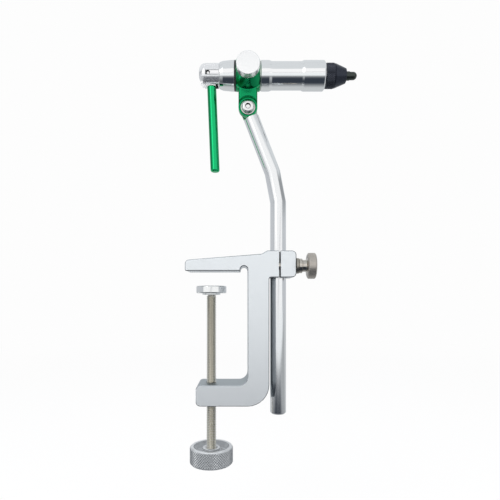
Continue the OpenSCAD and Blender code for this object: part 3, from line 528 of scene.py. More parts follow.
def join(name, *things):
    """Joins finished meshes, with their materials, into one piece."""
    with bpy.context.temp_override(active_object=things[0], object=things[0],
                                   selected_editable_objects=list(things),
                                   selected_objects=list(things)):
        bpy.ops.object.join()
    things[0].name = name
    return things[0]


stainless = metal("stainless_thread", (0.63, 0.61, 0.55), 0.24, lines=2, line_scale=2600.0,
                  line_depth=0.002, tone=0.25, line_tone=0.25)
SCREW_LOW, SCREW_HIGH, SPIGOT_TOP = -115.5, -14.05, -10.3
CORE_R, SPIGOT_R = 2.42, 2.0
core = turned("core", [(0, SCREW_LOW), (2.1, SCREW_LOW), (CORE_R, SCREW_LOW + 0.35),
                       (CORE_R, SCREW_HIGH - 0.6), (2.1, SCREW_HIGH - 0.2),
                       (SPIGOT_R, SCREW_HIGH - 0.2), (SPIGOT_R, SPIGOT_TOP - 0.05),
                       (1.8, SPIGOT_TOP), (0, SPIGOT_TOP)], (0, 0, 0), (0, 0, 1), 64)
paint(core, stainless)
smooth(core)
TURNS = int(SCREW_HIGH - SCREW_LOW - 1)
thread = grow(empty_object("thread"), coil_tree, **{
    "Coil radius": (CORE_R - 0.02) * MM, "Pitch": 1.0 * MM, "Turns": float(TURNS),
    "Ridge radius": 0.545 * MM, "Ridge sides": 4, "Steps a turn": 32, "Finish": stainless})
thread.data.transform(Matrix.Translation((0, 0, (SCREW_LOW + 0.88) * MM)))
smooth(thread, 50)
clamp_screw = join("screw_threaded", core, thread)
finish(clamp_screw, "screw", "turned_steel", "clamp_screw")

# The pad is a satin aluminium disc with a short boss under it. It turns freely on the spigot
# and a snap ring keeps it there.
satin = metal("turned_pad", (0.86, 0.87, 0.87), 0.13, lines=2, line_scale=1800.0,
              line_depth=0.001, line_tone=0.12, tone=0.08)
PAD_R, PAD_TOP, PAD_LOW = 9.05, -8.6, -13.05
PAD_BOSS_R, PAD_BOSS_LOW, PAD_HOLE_R, PAD_HOLE_TOP = 5.4, -14.0, 2.05, -10.25
pad_profile = rounded(
    [(0.01, PAD_TOP), (PAD_R, PAD_TOP), (PAD_R, PAD_LOW), (PAD_BOSS_R, PAD_LOW),
     (PAD_BOSS_R, PAD_BOSS_LOW), (PAD_HOLE_R, PAD_BOSS_LOW), (PAD_HOLE_R, PAD_HOLE_TOP),
     (0.01, PAD_HOLE_TOP)], [0, 0.7, 0.7, 0.15, 0.3, 0.1, 0, 0], 6)
pad = turned("pad_disc", pad_profile, (0, 0, 0), (0, 0, 1), 128)
paint(pad, satin)
smooth(pad)
finish(pad, "pad", "satin_aluminium", "clamp_pad")
spring_steel = metal("spring_steel", (0.36, 0.37, 0.38), 0.35, lines=2, line_depth=0.002)


def dress(node, material):
    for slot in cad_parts[node].material_slots:
        slot.material = material


dress("pad_clip", spring_steel)

# The bottom knob is a turned aluminium cup with a diamond knurl rolled round its rim, a hub
# with a countersink round the screw, and a lock nut in a recess underneath.
knurl_tree, given, result = tree_of("knurl", [
    ("Radius", "Float", 0.0128), ("Row step", "Float", 0.0006), ("Rows", "Int", 12),
    ("Around", "Int", 72), ("Stagger", "Float", 0.5), ("Finish", "Material", None)])
teeth = add_node(knurl_tree, "GeometryNodePoints")
number = add_node(knurl_tree, "GeometryNodeInputIndex").outputs[0]
row = calc(knurl_tree, "FLOOR", calc(knurl_tree, "DIVIDE", calc(knurl_tree, "ADD", number, 0.5),
                                     given["Around"]))
column = calc(knurl_tree, "SUBTRACT", number, times(knurl_tree, row, given["Around"]))
shift = times(knurl_tree, calc(knurl_tree, "MODULO", row, 2.0), given["Stagger"])
angle = times(knurl_tree, calc(knurl_tree, "DIVIDE", calc(knurl_tree, "ADD", column, shift),
                               given["Around"]), 2 * math.pi)
middle = calc(knurl_tree, "DIVIDE", calc(knurl_tree, "SUBTRACT", given["Rows"], 1.0), 2.0)
outward = add_node(knurl_tree, "ShaderNodeCombineXYZ")
stand = add_node(knurl_tree, "ShaderNodeCombineXYZ")
feed(knurl_tree, stand.inputs["X"], times(
    knurl_tree, calc(knurl_tree, "SUBTRACT", row, middle), given["Row step"]))
for axis, part in (("Y", calc(knurl_tree, "COSINE", angle)),
                   ("Z", calc(knurl_tree, "SINE", angle))):
    feed(knurl_tree, outward.inputs[axis], part)
    feed(knurl_tree, stand.inputs[axis], times(knurl_tree, given["Radius"], part))
knurl_tree.links.new(times(knurl_tree, given["Rows"], given["Around"]), teeth.inputs["Count"])
knurl_tree.links.new(stand.outputs[0], teeth.inputs["Position"])
facing = add_node(knurl_tree, "FunctionNodeAlignRotationToVector", axis="Z", pivot_axis="X")
knurl_tree.links.new(outward.outputs[0], facing.inputs["Vector"])
held = add_node(knurl_tree, "GeometryNodeCaptureAttribute")
held.capture_items.new("ROTATION", "Facing")
knurl_tree.links.new(teeth.outputs[0], held.inputs["Geometry"])
knurl_tree.links.new(facing.outputs[0], held.inputs["Facing"])
planted = add_node(knurl_tree, "GeometryNodeInstanceOnPoints")
knurl_tree.links.new(held.outputs["Geometry"], planted.inputs["Points"])
knurl_tree.links.new(given["Geometry"], planted.inputs["Instance"])
knurl_tree.links.new(held.outputs["Facing"], planted.inputs["Rotation"])
close_tree(knurl_tree, planted.outputs[0], given, result)


def knurl(name, tooth, radius, row_step, rows, around, stagger, finish_of):
    """tooth holds the half lengths along the axis and round it, and the height, in mm."""
    a, b, h = (v * MM for v in tooth)
    shape = bmesh.new()
    base = [shape.verts.new(p) for p in ((a, 0, 0), (0, b, 0), (-a, 0, 0), (0, -b, 0))]
    tip = shape.verts.new((0, 0, h))
    shape.faces.new(list(reversed(base)))
    for k in range(4):
        shape.faces.new((base[k], base[(k + 1) % 4], tip))
    return grow(as_object(name, shape), knurl_tree, **{
        "Radius": radius * MM, "Row step": row_step * MM, "Rows": rows, "Around": around,
        "Stagger": stagger, "Finish": finish_of})


KNOB_HIGH, KNOB_LOW = -105.15, -115.5
KNOB_MID = (KNOB_HIGH + KNOB_LOW) / 2
KNOB_R, CUP_R, HUB_R, SCREW_HOLE_R, NUT_RECESS_R = 12.65, 10.7, 5.2, 2.97, 6.07
CUP_FLOOR, HUB_TOP, NUT_SEAT = KNOB_HIGH - 4.6, KNOB_HIGH - 0.85, KNOB_LOW + 3.4
knob_metal = metal("knob_aluminium", (0.70, 0.715, 0.73), 0.30, metallic=0.70, lines=2,
                   line_scale=1500.0, line_depth=0.003, line_tone=0.25, tone=0.15)
knob_profile = rounded(
    [(12.1, KNOB_LOW), (KNOB_R, KNOB_LOW + 0.62), (KNOB_R, KNOB_HIGH - 0.62), (12.1, KNOB_HIGH),
     (CUP_R, KNOB_HIGH), (CUP_R, CUP_FLOOR), (HUB_R, CUP_FLOOR), (HUB_R, HUB_TOP),
     (4.0, HUB_TOP), (SCREW_HOLE_R, KNOB_HIGH - 1.88), (SCREW_HOLE_R, NUT_SEAT),
     (NUT_RECESS_R, NUT_SEAT), (NUT_RECESS_R, KNOB_LOW)],
    [0.15, 0.1, 0.1, 0.2, 0.3, 0.6, 0.5, 0.25, 0.1, 0.1, 0.1, 0.1, 0.2], 4)
knob = turned("knob_cup", knob_profile, (0, 0, 0), (0, 0, 1), 144)
paint(knob, knob_metal)
smooth(knob)
knob_teeth = knurl("knob_teeth", (0.84, 0.75, 0.46), radius=KNOB_R - 0.03, row_step=0.80,
                   rows=11, around=54, stagger=0.5,
                   finish_of=metal("knob_knurl", (0.47, 0.485, 0.50), 0.30, metallic=0.8,
                                   lines=2, line_depth=0.002, tone=0.15))
knob_teeth.data.transform(Matrix.Translation((0, 0, KNOB_MID * MM))
                          @ Matrix.Rotation(math.radians(90), 4, "Y"))
smooth(knob_teeth, 20)
knob = join("knob_cup", knob, knob_teeth)
finish(knob, "screw", "satin_aluminium", "clamp_knob")
nickel = metal("nickel_plate", (0.62, 0.60, 0.56), 0.24, lines=2, line_depth=0.002, tone=0.15)
dress("knob_nut", nickel)

# The thumb screw closes the slit block on the stem. It is turned from one bar and plated warm
# grey: a polished collar against the washer, a polished waist, and a satin round head with a
# faint straight knurl.
THUMB = (BLOCK_OUT, THUMB_Y, THUMB_Z)
SHANK_R, COLLAR_R, WAIST_R, THUMB_R = 2.0, 4.3, 3.5, 7.6
warm_nickel = metal("warm_nickel", (0.60, 0.56, 0.51), 0.14, lines=0, line_scale=1800.0,
                    line_depth=0.001, line_tone=0.20, tone=0.15, centre=THUMB)
satin_nickel = metal("satin_nickel", (0.47, 0.435, 0.395), 0.38, metallic=0.85, lines=0,
                     line_scale=1800.0, line_depth=0.003, line_tone=0.2, tone=0.2, centre=THUMB)
washer_steel = metal("washer_steel", (0.40, 0.375, 0.33), 0.38, lines=0, line_scale=2400.0,
                     line_depth=0.003, tone=0.25)
collar_in = 1.7
collar_out = collar_in + 1.9
head_in = collar_out + 2.4
head_out = head_in + 5.6
thumb_profile = [(0, -16.4), (1.6, -16.4), (SHANK_R, -16.0), (SHANK_R, collar_in)] + rounded(
    [(SHANK_R, collar_in), (COLLAR_R, collar_in), (COLLAR_R, collar_out), (WAIST_R, collar_out),
     (WAIST_R, head_in), (4.9, head_in + 0.56), (6.7, head_in + 0.56), (THUMB_R, head_in + 1.2),
     (THUMB_R, head_out - 0.7), (6.9, head_out - 0.15), (0, head_out)],
    [0, 0.3, 0.3, 0.35, 1.2, 0.2, 0.4, 0.4, 0.4, 0.5, 0], 6)[1:]
thumb_screw = turned("thumb_screw_turned", thumb_profile, THUMB, (1, 0, 0), 128)
paint(thumb_screw, warm_nickel, satin_nickel)
for face in thumb_screw.data.polygons:
    if face.center.x > (BLOCK_OUT + head_in + 0.5) * MM:
        face.material_index = 1
smooth(thumb_screw)
thumb_teeth = knurl("thumb_teeth", (1.9, 0.34, 0.16), radius=THUMB_R - 0.14, row_step=1.0,
                    rows=1, around=68, stagger=0.0, finish_of=satin_nickel)
head_middle = BLOCK_OUT + (head_in + head_out) / 2
thumb_teeth.data.transform(Matrix.Translation((head_middle * MM, THUMB_Y * MM, THUMB_Z * MM)))
smooth(thumb_teeth, 20)
thumb_screw = join("thumb_screw_turned", thumb_screw, thumb_teeth)
finish(thumb_screw, "thumb_screw", "nickel_steel", "thumb_screw")
thumb_washer = turned("thumb_washer_ring", rounded(
    [(THUMB_HOLE_R, 0.05), (4.55, 0.05), (4.55, 1.65), (THUMB_HOLE_R, 1.65)],
    [0.1, 0.3, 0.3, 0.1], 4),
    THUMB, (1, 0, 0), 96)
paint(thumb_washer, washer_steel)
smooth(thumb_washer)
finish(thumb_washer, "thumb_washer", "turned_steel", "thumb_washer")

# The stem is ground 3/8 inch steel bar, bent once and polished. Its top is milled to a half lap
# with a rounded end for the head's tab, and its foot has a small chamfer.
BEND = math.radians(21.2)
BEND_Z, NECK = 51.1, 50.5
PIVOT_X = STEM_X - NECK * math.sin(BEND)
PIVOT_Z = BEND_Z + NECK * math.cos(BEND)
PIVOT = (PIVOT_X, 0, PIVOT_Z)
STEM_LOW, BAR_R = -85.5, 4.7625
bar_tree, given, result = tree_of("bent_bar", [
    ("Bar radius", "Float", 0.0047625), ("Bend radius", "Float", 0.05), ("Sides", "Int", 96),
    ("Finish", "Material", None)])
line = add_node(bar_tree, "GeometryNodeMeshToCurve")
bar_tree.links.new(given["Geometry"], line.inputs[0])
bend = add_node(bar_tree, "GeometryNodeFilletCurve")
bar_tree.links.new(line.outputs[0], bend.inputs["Curve"])
bar_tree.links.new(given["Bend radius"], bend.inputs["Radius"])
# The node's count stays at 1: one straight run crosses the bend, up to 0.9 mm inside its arc.
bend.mode = "POLY"
close_tree(bar_tree, sweep(bar_tree, bend.outputs[0], given["Sides"], given["Bar radius"]),
           given, result)

ground = metal("ground_bar", (0.84, 0.85, 0.86), 0.13, lines=2, line_scale=900.0,
               line_depth=0.0015, line_tone=0.10, tone=0.06, smudge=0.04)
up = Vector((-math.sin(BEND), 0, math.cos(BEND)))
path = [Vector((STEM_X, 0, STEM_LOW)), Vector((STEM_X, 0, BEND_Z)),
        Vector(PIVOT) + up * BAR_R]
shape = bmesh.new()
knots = [shape.verts.new(p * MM) for p in path]
for one, two in zip(knots, knots[1:]):
    shape.edges.new((one, two))
stem = grow(as_object("stem_bar", shape), bar_tree, **{
    "Bar radius": BAR_R * MM, "Bend radius": 50 * MM, "Sides": 96, "Finish": ground})
edge_break(stem, 0.8, limit=50)


def tilted(thing):
    """Moves a cutter made round the origin to the pivot, in line with the stem's upper run."""
    thing.data.transform(Matrix.Translation((PIVOT_X * MM, 0, PIVOT_Z * MM))
                         @ Matrix.Rotation(-BEND, 4, "Y"))
    return thing


PAST, LAP_LOW, LAP_FACE, CROWN_R, PIN_HOLE_R = 9.5, -5.95, 0.25, 4.70, 2.05
lap = tilted(slab("lap", [(-PAST, LAP_LOW), (PAST, LAP_LOW), (PAST, 6.2), (-PAST, 6.2)],
                  -PAST, LAP_FACE))
crown = [(PAST, 0), (PAST, 9), (-PAST, 9), (-PAST, 0)] + arc((0, 0), CROWN_R, 180, 0, 32)
crown = tilted(slab("crown", crown, -PAST, PAST))
cut(stem, [lap, crown,
           turned("pin_hole", [(0, -9), (PIN_HOLE_R, -9), (PIN_HOLE_R, 9), (0, 9)],
                  PIVOT, (0, 1, 0), 64),
           turned("nut_seat", [(0, 4.0005), (4.34, 4.0005), (4.34, 9), (0, 9)],
                  PIVOT, (0, 1, 0), 64)])
smooth(stem)
finish(stem, "stem", "polished_steel", "stem")


def plastic(name, colour, roughness):
    """A moulded or turned plastic with a faint grain."""
    return metal(name, colour, roughness, metallic=0.0, grain=0.004, grain_scale=3000.0, tone=0.1)


dress("stem_liner", plastic("liner_plastic", (0.05, 0.05, 0.055), 0.5))

# The head pivots on a button-head screw with a hexagon socket, on a washer in a milled seat.
# A nylon washer lies between the tab and the stem, and a nut sits behind.
TAB_FRONT = -4.45
STEP_Y = TAB_FRONT + 1.0
SPOT_Y = STEP_Y + 0.8
BUTTON_R, SOCKET_R, SOCKET_MOUTH_R = 3.8, 1.45, 2.0
polished = metal("polished_steel", (0.82, 0.82, 0.82), 0.10, lines=1, line_scale=1500.0,
                 line_depth=0.001, tone=0.05, centre=PIVOT)
head_y = SPOT_Y - 0.64
screw_profile = [(0, -2.2)] + arc((BUTTON_R - 1.45, -0.75), 1.45, -80, 0, 8) + [
    (BUTTON_R, 0), (2.0, 0), (2.0, 10.1), (0, 10.1)]
pivot_screw = turned("pivot_screw_button", screw_profile, (PIVOT_X, head_y, PIVOT_Z),
                     (0, 1, 0), 96)
hexagon = arc((PIVOT_X, PIVOT_Z), SOCKET_R, 14, 314, 5)
cut(pivot_screw, [
    slab("socket", hexagon, head_y - 4, head_y - 1.25),
    turned("countersink", [(0, -2.6), (SOCKET_MOUTH_R, -2.6), (1.25, -1.85), (0, -1.85)],
           (PIVOT_X, head_y, PIVOT_Z), (0, 1, 0), 64)])
paint(pivot_screw, polished,
      metal("socket_painted_shade", (0.10, 0.10, 0.10), 0.5, lines=1, line_depth=0.004, tone=0.2,
            centre=PIVOT))
edge_break(pivot_screw, 0.06, limit=45)
# Painted shade: the socket's walls take the near-black finish, as shade in the recess.
for face in pivot_screw.data.polygons:
    out = (face.center - Vector(PIVOT) * MM) / MM
    if math.hypot(out.x, out.z) < 1.7 and head_y - 2.19 < out.y < head_y - 1.27:
        face.material_index = 1
smooth(pivot_screw)
finish(pivot_screw, "stem", "polished_steel", "pivot_screw")
pivot_washer = turned("pivot_washer_ring", rounded(
    [(PIN_HOLE_R, -0.62), (4.4, -0.62), (4.4, -0.02), (PIN_HOLE_R, -0.02)],
    [0.1, 0.2, 0.1, 0.1], 3),
    (PIVOT_X, SPOT_Y, PIVOT_Z), (0, 1, 0), 96)
washer_nickel = metal("washer_nickel", (0.60, 0.60, 0.585), 0.22, lines=1, line_scale=1500.0,
                      line_depth=0.002, tone=0.12, centre=PIVOT)
paint(pivot_washer, washer_nickel)
smooth(pivot_washer)
finish(pivot_washer, "stem", "nickel_steel", "pivot_washer")
dress("pivot_nut", washer_nickel)
dress("lap_washer", plastic("black_nylon", (0.02, 0.02, 0.022), 0.45))

# The yoke is machined from one piece and anodised green: a ring round the barrel, a flat tab
# down to the pivot with a round milled seat, and a boss for the drag screw at the front.
HEAD_Z = PIVOT_Z + 20.2
HEAD = (PIVOT_X, 0, HEAD_Z)
green = metal("green_anodised", (0.004, 0.30, 0.105), 0.18, lines=0, line_scale=1300.0,
              line_depth=0.0015, line_tone=0.10, tone=0.10, coat=0.10, centre=HEAD)
TAB_HALF, RING_HALF, RING_R = 5.65, 7.2, 8.8
yoke = turned("ring", [(0, -RING_HALF)] + rounded(
    [(6.0, -RING_HALF), (RING_R, -RING_HALF), (RING_R, RING_HALF), (6.0, RING_HALF)],
    [0, 0.35, 0.35, 0], 4) + [(0, RING_HALF)], HEAD, (1, 0, 0), 144)
tab = bmesh.new()
section = rounded([(-TAB_HALF, -0.25), (-TAB_HALF, TAB_FRONT), (TAB_HALF, TAB_FRONT),
                   (TAB_HALF, -0.25)], [0.15, 1.2, 1.2, 0.15], 8)
low, high = ([tab.verts.new(((PIVOT_X + x) * MM, y * MM, z * MM)) for x, y in section]
             for z in (PIVOT_Z, PIVOT_Z + 14.2))
tab.faces.new(low)
tab.faces.new(high)
for k, m in zip(range(len(section)), list(range(1, len(section))) + [0]):
    tab.faces.new((low[k], low[m], high[m], high[k]))
FLARE_Y, BOSS_FRONT, BOSS_BACK, TRIM_TOP = TAB_FRONT - 0.01, -10.7, -3.0, HEAD_Z + 9.19
boss = turned("boss", [(0, BOSS_FRONT)] + rounded(
    [(0.1, BOSS_FRONT), (6.95, BOSS_FRONT), (9.9, FLARE_Y), (10.5, FLARE_Y), (10.5, BOSS_BACK),
     (0.1, BOSS_BACK)], [0, 0.3, 0.9, 0.0, 0, 0], 8) + [(0, BOSS_BACK)], HEAD, (0, 1, 0), 128)
cut(boss, [slab("ring_sides", [
    (PIVOT_X - RING_HALF, HEAD_Z - 20), (PIVOT_X + RING_HALF, HEAD_Z - 20),
    (PIVOT_X + RING_HALF, TRIM_TOP), (PIVOT_X - RING_HALF, TRIM_TOP)], -20, 20)], "INTERSECT")
cut(yoke, [as_object("tab", tab), boss], "UNION")
cut(yoke, [
    turned("journal", [(0, -9), (6.05, -9), (6.05, 9), (0, 9)], HEAD, (1, 0, 0), 128),
    turned("stud_bore", [(0, -12), (2.05, -12), (2.05, 0), (0, 0)], HEAD, (0, 1, 0), 64),
    turned("step", [(0, -9), (6.5, -9), (6.5, FLARE_Y), (6.3, TAB_FRONT + 0.15),
                    (5.75, STEP_Y), (TAB_HALF - 0.01, STEP_Y), (TAB_HALF - 0.01, 1), (0, 1)],
           PIVOT, (0, 1, 0), 128)])
lobe = turned("lobe", rounded(
    [(PIN_HOLE_R, SPOT_Y), (4.8, SPOT_Y), (4.8, STEP_Y), (TAB_HALF, STEP_Y), (TAB_HALF, -0.25),
     (PIN_HOLE_R, -0.25)], [0.1, 0.1, 0.14, 0.2, 0.15, 0.1], 4), PIVOT, (0, 1, 0), 144)
for thing in (yoke, lobe):
    paint(thing, green)
    smooth(thing)
yoke = join("yoke_machined", yoke, lobe)
finish(yoke, "yoke", "green_anodised", "yoke")
dress("thrust_washer", plastic("thrust_plastic", (0.018, 0.018, 0.02), 0.42))
dress("front_washer", washer_nickel)

# The drag knob is a plain polished disc on a stud, and the nylon plug behind it rubs on the
# barrel's journal.
DRAG_R, DRAG_FRONT, DRAG_BACK = 6.85, -15.95, -10.75
mirror_aluminium = metal("mirror_aluminium", (0.935, 0.94, 0.94), 0.22, metallic=0.85, lines=1,
                         line_scale=1200.0, line_depth=0.0008, tone=0.05, smudge=0.03,
                         centre=HEAD)
drag_knob = turned("drag_knob_disc", [(0, DRAG_FRONT)] + rounded(
    [(0.5, DRAG_FRONT), (DRAG_R, DRAG_FRONT), (DRAG_R, DRAG_BACK), (2.0, DRAG_BACK)],
    [0, 0.42, 0.42, 0.1], 6)[1:] + [(2.0, -7.8), (0, -7.8)], HEAD, (0, 1, 0), 144)
paint(drag_knob, mirror_aluminium)
smooth(drag_knob)
finish(drag_knob, "drag_knob", "polished_aluminium", "drag_knob")
dress("drag_plug", plastic("white_nylon", (0.82, 0.81, 0.77), 0.45))

# The barrel's front is one polished aluminium turning: a flange, a long slimmer neck and a wide
# front part that the nose screws on to. Its journal runs back through the yoke.
bright = metal("bright_aluminium", (0.88, 0.885, 0.89), 0.10, lines=0, line_scale=1500.0,
               line_depth=0.0012, line_tone=0.10, tone=0.05, smudge=0.04, centre=HEAD)
BARREL_R, BARREL_NECK_R, JOURNAL_R, ROD_HOLE_R = 8.6, 8.0, 6.0, 2.55
THREAD_R, THREAD_END, SPRING_HOLE_R = 6.1, 50.4, 5.2
front_profile = rounded(
    [(ROD_HOLE_R, -12.5), (5.0, -12.5), (5.0, -8.15), (JOURNAL_R, -8.15), (JOURNAL_R, 7.7),
     (BARREL_R, 7.7), (BARREL_R, 12.66), (BARREL_NECK_R, 14.3), (BARREL_NECK_R, 32.2),
     (BARREL_R, 33.5), (BARREL_R, 45.45), (7.95, 46.1), (THREAD_R, 46.1),
     (THREAD_R, THREAD_END), (SPRING_HOLE_R, THREAD_END), (SPRING_HOLE_R, 30.0),
     (ROD_HOLE_R, 30.0)],
    [0, 0.2, 0, 0.05, 0.1, 0.35, 0.3, 0.5, 0.5, 0.3, 0.3, 0.3, 0.1, 0.2, 0.1, 0, 0], 5)
barrel_front = turned("barrel_front_turned", front_profile, HEAD, (1, 0, 0), 144)
paint(barrel_front, bright)
smooth(barrel_front)
finish(barrel_front, "barrel", "polished_aluminium", "barrel_front")

# The sleeve behind the yoke is a short polished turning that swells from the cap to the
# barrel's full diameter.
SLEEVE_BACK, SLEEVE_FRONT, SLEEVE_HOLE_R = -16.95, -8.17, 5.02
sleeve_profile = rounded(
    [(SLEEVE_HOLE_R, SLEEVE_BACK), (7.4, SLEEVE_BACK), (8.1, -14.9), (BARREL_R, -9.5),
     (BARREL_R, SLEEVE_FRONT), (SLEEVE_HOLE_R, SLEEVE_FRONT)],
    [0, 0.25, 1.5, 3.0, 0.2, 0], 6)
sleeve = turned("sleeve_turned", sleeve_profile, HEAD, (1, 0, 0), 144)
paint(sleeve, bright)
smooth(sleeve)
finish(sleeve, "barrel", "polished_aluminium", "barrel_sleeve")

# The rear cap is polished too, rounded at the back and slotted from underneath for the lever.
# A short steel pin across it carries the cam.
CAP_BACK, CAP_FRONT, CAP_R, CAP_SPIGOT_R, CAP_SPIGOT_END = -29.3, -17.0, 7.0, 5.0, -12.62
PIN, SLOT_HALF, CAM_R = CAP_FRONT - 6.6, 3.05, 5.287
PIN_X, PIN_Z = PIVOT_X + PIN, HEAD_Z - 1.2
SLOT_BACK, SLOT_LOW, SLOT_ROOF = PIN_X - 8, HEAD_Z - 8, HEAD_Z + 0.35
cap_profile = [(0, CAP_BACK)] + rounded(
    [(0.5, CAP_BACK), (CAP_R, CAP_BACK), (CAP_R, CAP_FRONT), (CAP_SPIGOT_R, CAP_FRONT),
     (CAP_SPIGOT_R, CAP_SPIGOT_END)], [0, 4.0, 0.45, 0, 0], 12)[1:] + [(0, CAP_SPIGOT_END)]
cap = turned("cap_turned", cap_profile, HEAD, (1, 0, 0), 144)
cut(cap, [
    slab("slot", [(SLOT_BACK, SLOT_LOW), (PIN_X + 6.0, SLOT_LOW), (PIN_X + 4.55, SLOT_ROOF),
                  (SLOT_BACK, SLOT_ROOF)], -SLOT_HALF, SLOT_HALF),
    turned("cavity", [(0, -SLOT_HALF), (CAM_R, -SLOT_HALF), (CAM_R, SLOT_HALF), (0, SLOT_HALF)],
           (PIN_X, 0, PIN_Z), (0, 1, 0), 64),
    turned("rod_hole", [(0, PIN), (ROD_HOLE_R, PIN), (ROD_HOLE_R, -11), (0, -11)],
           HEAD, (1, 0, 0), 64),
    turned("pin_hole", [(0, -9), (1.8, -9), (1.02, -6.3), (1.02, 6.3), (1.8, 9), (0, 9)],
           (PIN_X, 0, PIN_Z), (0, 1, 0), 48)])
cap_metal = metal("cap_aluminium", (0.885, 0.88, 0.89), 0.14, metallic=0.86, lines=0,
                  line_scale=1500.0, line_depth=0.0012, line_tone=0.10, tone=0.05,
                  smudge=0.04, centre=HEAD)
slot_satin = metal("slot_satin", (0.88, 0.885, 0.89), 0.5, metallic=0.35, lines=1,
                   line_depth=0.003, tone=0.10, centre=HEAD)
slot_shade = metal("slot_shade", (0.16, 0.165, 0.17), 0.5, lines=1, line_depth=0.003,
                   tone=0.2, centre=HEAD)
paint(cap, cap_metal, slot_satin, slot_shade)
for face in cap.data.polygons:
    ahead, up = face.center.x - PIN_X * MM, face.center.z - PIN_Z * MM
    outward = face.normal.y * face.center.y + face.normal.z * (face.center.z - HEAD_Z * MM)
    in_slot = abs(face.center.y) < (SLOT_HALF + 0.01) * MM and -5.6 * MM < ahead < 6.1 * MM
    if in_slot and outward < 0.2 * MM:
        face.material_index = 1 if ahead < 2 * MM else 2
    elif math.hypot(ahead, up) < 1.79 * MM:
        face.material_index = 2
smooth(cap)
finish(cap, "barrel", "polished_aluminium", "rear_cap")
pin_steel = metal("pin_steel", (0.85, 0.85, 0.85), 0.25, lines=1, line_depth=0.002, tone=0.2)
dress("lever_pin", pin_steel)
dress("lever_cam", slot_satin)

# The lever is a plain green anodised rod, screwed into the cam and rounded over at its lower
# end. It hangs a little out of plumb.
LEAN = math.radians(2.3)
down = Vector((math.sin(LEAN), 0, -math.cos(LEAN)))
lever_green = metal("lever_green", (0.008, 0.48, 0.165), 0.15, lines=2, line_scale=1300.0,
                    line_depth=0.0015, line_tone=0.10, tone=0.10, coat=0.20,
                    centre=(PIN_X, 0, PIN_Z))
LEVER_R, TENON_R, TENON_TOP, ROD_TOP, ROD_END = 2.75, 1.375, 3.3, 5.8, 57.0
lever = turned("lever_turned", [(0, 2.9)] + rounded(
    [(0.3, TENON_TOP), (TENON_R, TENON_TOP), (TENON_R, ROD_TOP), (LEVER_R, ROD_TOP),
     (LEVER_R, ROD_END), (0.3, ROD_END)], [0, 0, 0, 0.15, 1.3, 0], 8) + [(0, ROD_END)],
    (PIN_X + 1.5, 0, PIN_Z), down, 96)
paint(lever, lever_green)
smooth(lever)
finish(lever, "lever", "green_anodised", "lever_rod")

# Inside the barrel the draw rod pushes the jaws forward, and a spring behind the guide bush
# brings it back. The spring is eight even turns of round wire.
for node, material in (("draw_rod", spring_steel), ("draw_collar", spring_steel),
                       ("guide_bush", metal("bronze_bush", (0.52, 0.37, 0.16), 0.35, lines=0,
                                            line_depth=0.003, centre=HEAD))):
    dress(node, material)
spring_low, spring_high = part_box("return_spring")
WIRE_R, COIL_R, COILS = 0.45, 4.2, 8
spring_length = (spring_high.x - spring_low.x) - 0.95 * MM
spring = grow(empty_object("spring_coil"), coil_tree, **{
    "Coil radius": COIL_R * MM, "Pitch": spring_length / COILS, "Turns": float(COILS),
    "Ridge radius": WIRE_R * MM, "Ridge sides": 12, "Steps a turn": 32, "Finish": spring_steel})
spring.data.transform(Matrix.Translation((spring_low.x + 0.47 * MM, 0, HEAD_Z * MM))
                      @ Matrix.Rotation(math.radians(90), 4, "Y"))
smooth(spring, 60)
finish(spring, "barrel", "turned_steel", "return_spring")

# The nose is black anodised aluminium: a ring with a fine diamond knurl that screws on to the
# barrel, and a plain cone in front of it that closes the jaws.
black = metal("black_anodised", (0.026, 0.031, 0.044), 0.24, metallic=0.7, lines=0,
              line_scale=1300.0, line_depth=0.002, line_tone=0.10, tone=0.15, centre=HEAD)
NOSE, NOSE_END, NOSE_R, NOSE_HOLE_R = 46.6, 46.6 + 5.4, 7.02, 6.15
nose_ring = turned("nose_ring_turned", rounded(
    [(NOSE_HOLE_R, NOSE), (6.75, NOSE), (NOSE_R, NOSE + 0.3), (NOSE_R, NOSE_END - 0.3),
     (6.75, NOSE_END), (5.2, NOSE_END), (5.2, NOSE_END - 0.9), (NOSE_HOLE_R, NOSE_END - 0.9)],
    [0.1, 0.1, 0.1, 0.1, 0.2, 0.1, 0, 0], 3), HEAD, (1, 0, 0), 128)
paint(nose_ring, black)
smooth(nose_ring)
nose_teeth = knurl("nose_teeth", (0.56, 0.50, 0.22), radius=NOSE_R - 0.03, row_step=0.50,
                   rows=9, around=42, stagger=0.5,
                   finish_of=metal("black_knurl", (0.055, 0.06, 0.076), 0.24, lines=0,
                                   line_scale=1300.0, line_depth=0.002, line_tone=0.10,
                                   tone=0.15, centre=HEAD))
nose_teeth.data.transform(Matrix.Translation(((PIVOT_X + NOSE + 2.7) * MM, 0, HEAD_Z * MM)))
smooth(nose_teeth, 20)
nose_ring = join("nose_ring_knurled", nose_ring, nose_teeth)
finish(nose_ring, "nose_ring", "black_anodised", "nose_ring")
CONE_BACK, CONE_STEP, CONE_END, CONE_HOLE_R, MOUTH_R = 45.6, 52.05, 59.05, 3.95, 2.95
TAPER_BACK, TAPER_FRONT = 53.46, 58.96
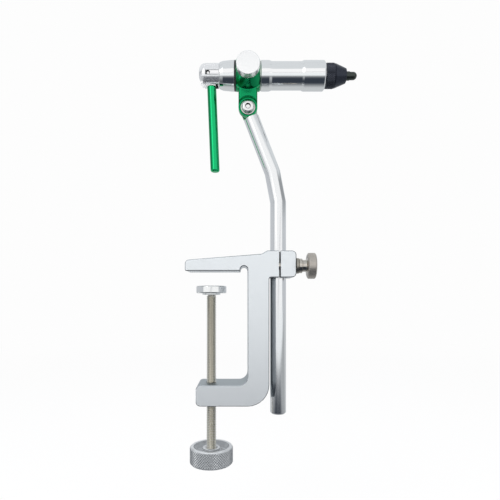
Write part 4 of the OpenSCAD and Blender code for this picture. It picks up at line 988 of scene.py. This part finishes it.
cone = turned("nose_cone_turned", rounded(
    [(CONE_HOLE_R, CONE_BACK), (5.15, CONE_BACK), (5.15, CONE_STEP), (6.67, CONE_STEP),
     (6.95, 52.33), (4.3, 58.88), (4.13, CONE_END), (MOUTH_R, CONE_END),
     (MOUTH_R, TAPER_FRONT), (CONE_HOLE_R, TAPER_BACK)],
    [0, 0.1, 0, 0.15, 0.35, 0.3, 0.2, 0.15, 0, 0], 5), HEAD, (1, 0, 0), 128)
paint(cone, black)
smooth(cone)
finish(cone, "nose_cone", "black_anodised", "nose_cone")

# The jaws are the two halves of one hardened collet, blackened and split down the middle. The
# tip is a little slimmer than the neck and rounded at the end.
JAW_ROOT, JAW_END, JAW_STEPS = 39.8, 65.84, 48
LEG_R, JAW_NECK_R, TIP_R, SAW_HALF = 3.6, 2.6, 2.325, 0.08
jaw_profile = rounded(
    [(4.6, JAW_ROOT), (4.6, JAW_ROOT + 1.0), (LEG_R, JAW_ROOT + 2.0), (LEG_R, TAPER_BACK),
     (JAW_NECK_R, TAPER_FRONT), (JAW_NECK_R, 61.25), (TIP_R, 61.53)],
    [0.1, 0.2, 0.2, 0, 0.3, 0.15, 0.1], 4)
jaw_profile += arc((0, JAW_END - TIP_R), TIP_R, 0, 88, 11) + [(SAW_HALF + 0.01, JAW_END)]
jaw_steel = metal("jaw_steel", (0.060, 0.070, 0.064), 0.26, metallic=0.9, lines=0,
                  line_scale=1600.0, line_depth=0.002, line_tone=0.15, tone=0.2, centre=HEAD)
for side_name, sign in (("near", -1), ("far", 1)):
    shape = bmesh.new()
    rings = []
    for radius, distance in jaw_profile:
        begin = math.asin(min(1.0, SAW_HALF / radius))
        turns = [begin + (math.pi - 2 * begin) * k / JAW_STEPS for k in range(JAW_STEPS + 1)]
        rings.append([shape.verts.new(((PIVOT_X + distance) * MM, sign * radius * math.sin(a) * MM,
                                       (HEAD_Z + radius * math.cos(a)) * MM)) for a in turns])
    for one, two in zip(rings, rings[1:]):
        for k in range(JAW_STEPS):
            shape.faces.new((one[k], one[k + 1], two[k + 1], two[k]))
    shape.faces.new([r[0] for r in rings] + [r[-1] for r in reversed(rings)])
    shape.faces.new(rings[0])
    shape.faces.new(rings[-1])
    jaw = as_object("jaw_half_" + side_name, shape)
    paint(jaw, jaw_steel)
    smooth(jaw)
    finish(jaw, "jaw_" + side_name, "dark_steel", "jaw_" + side_name)
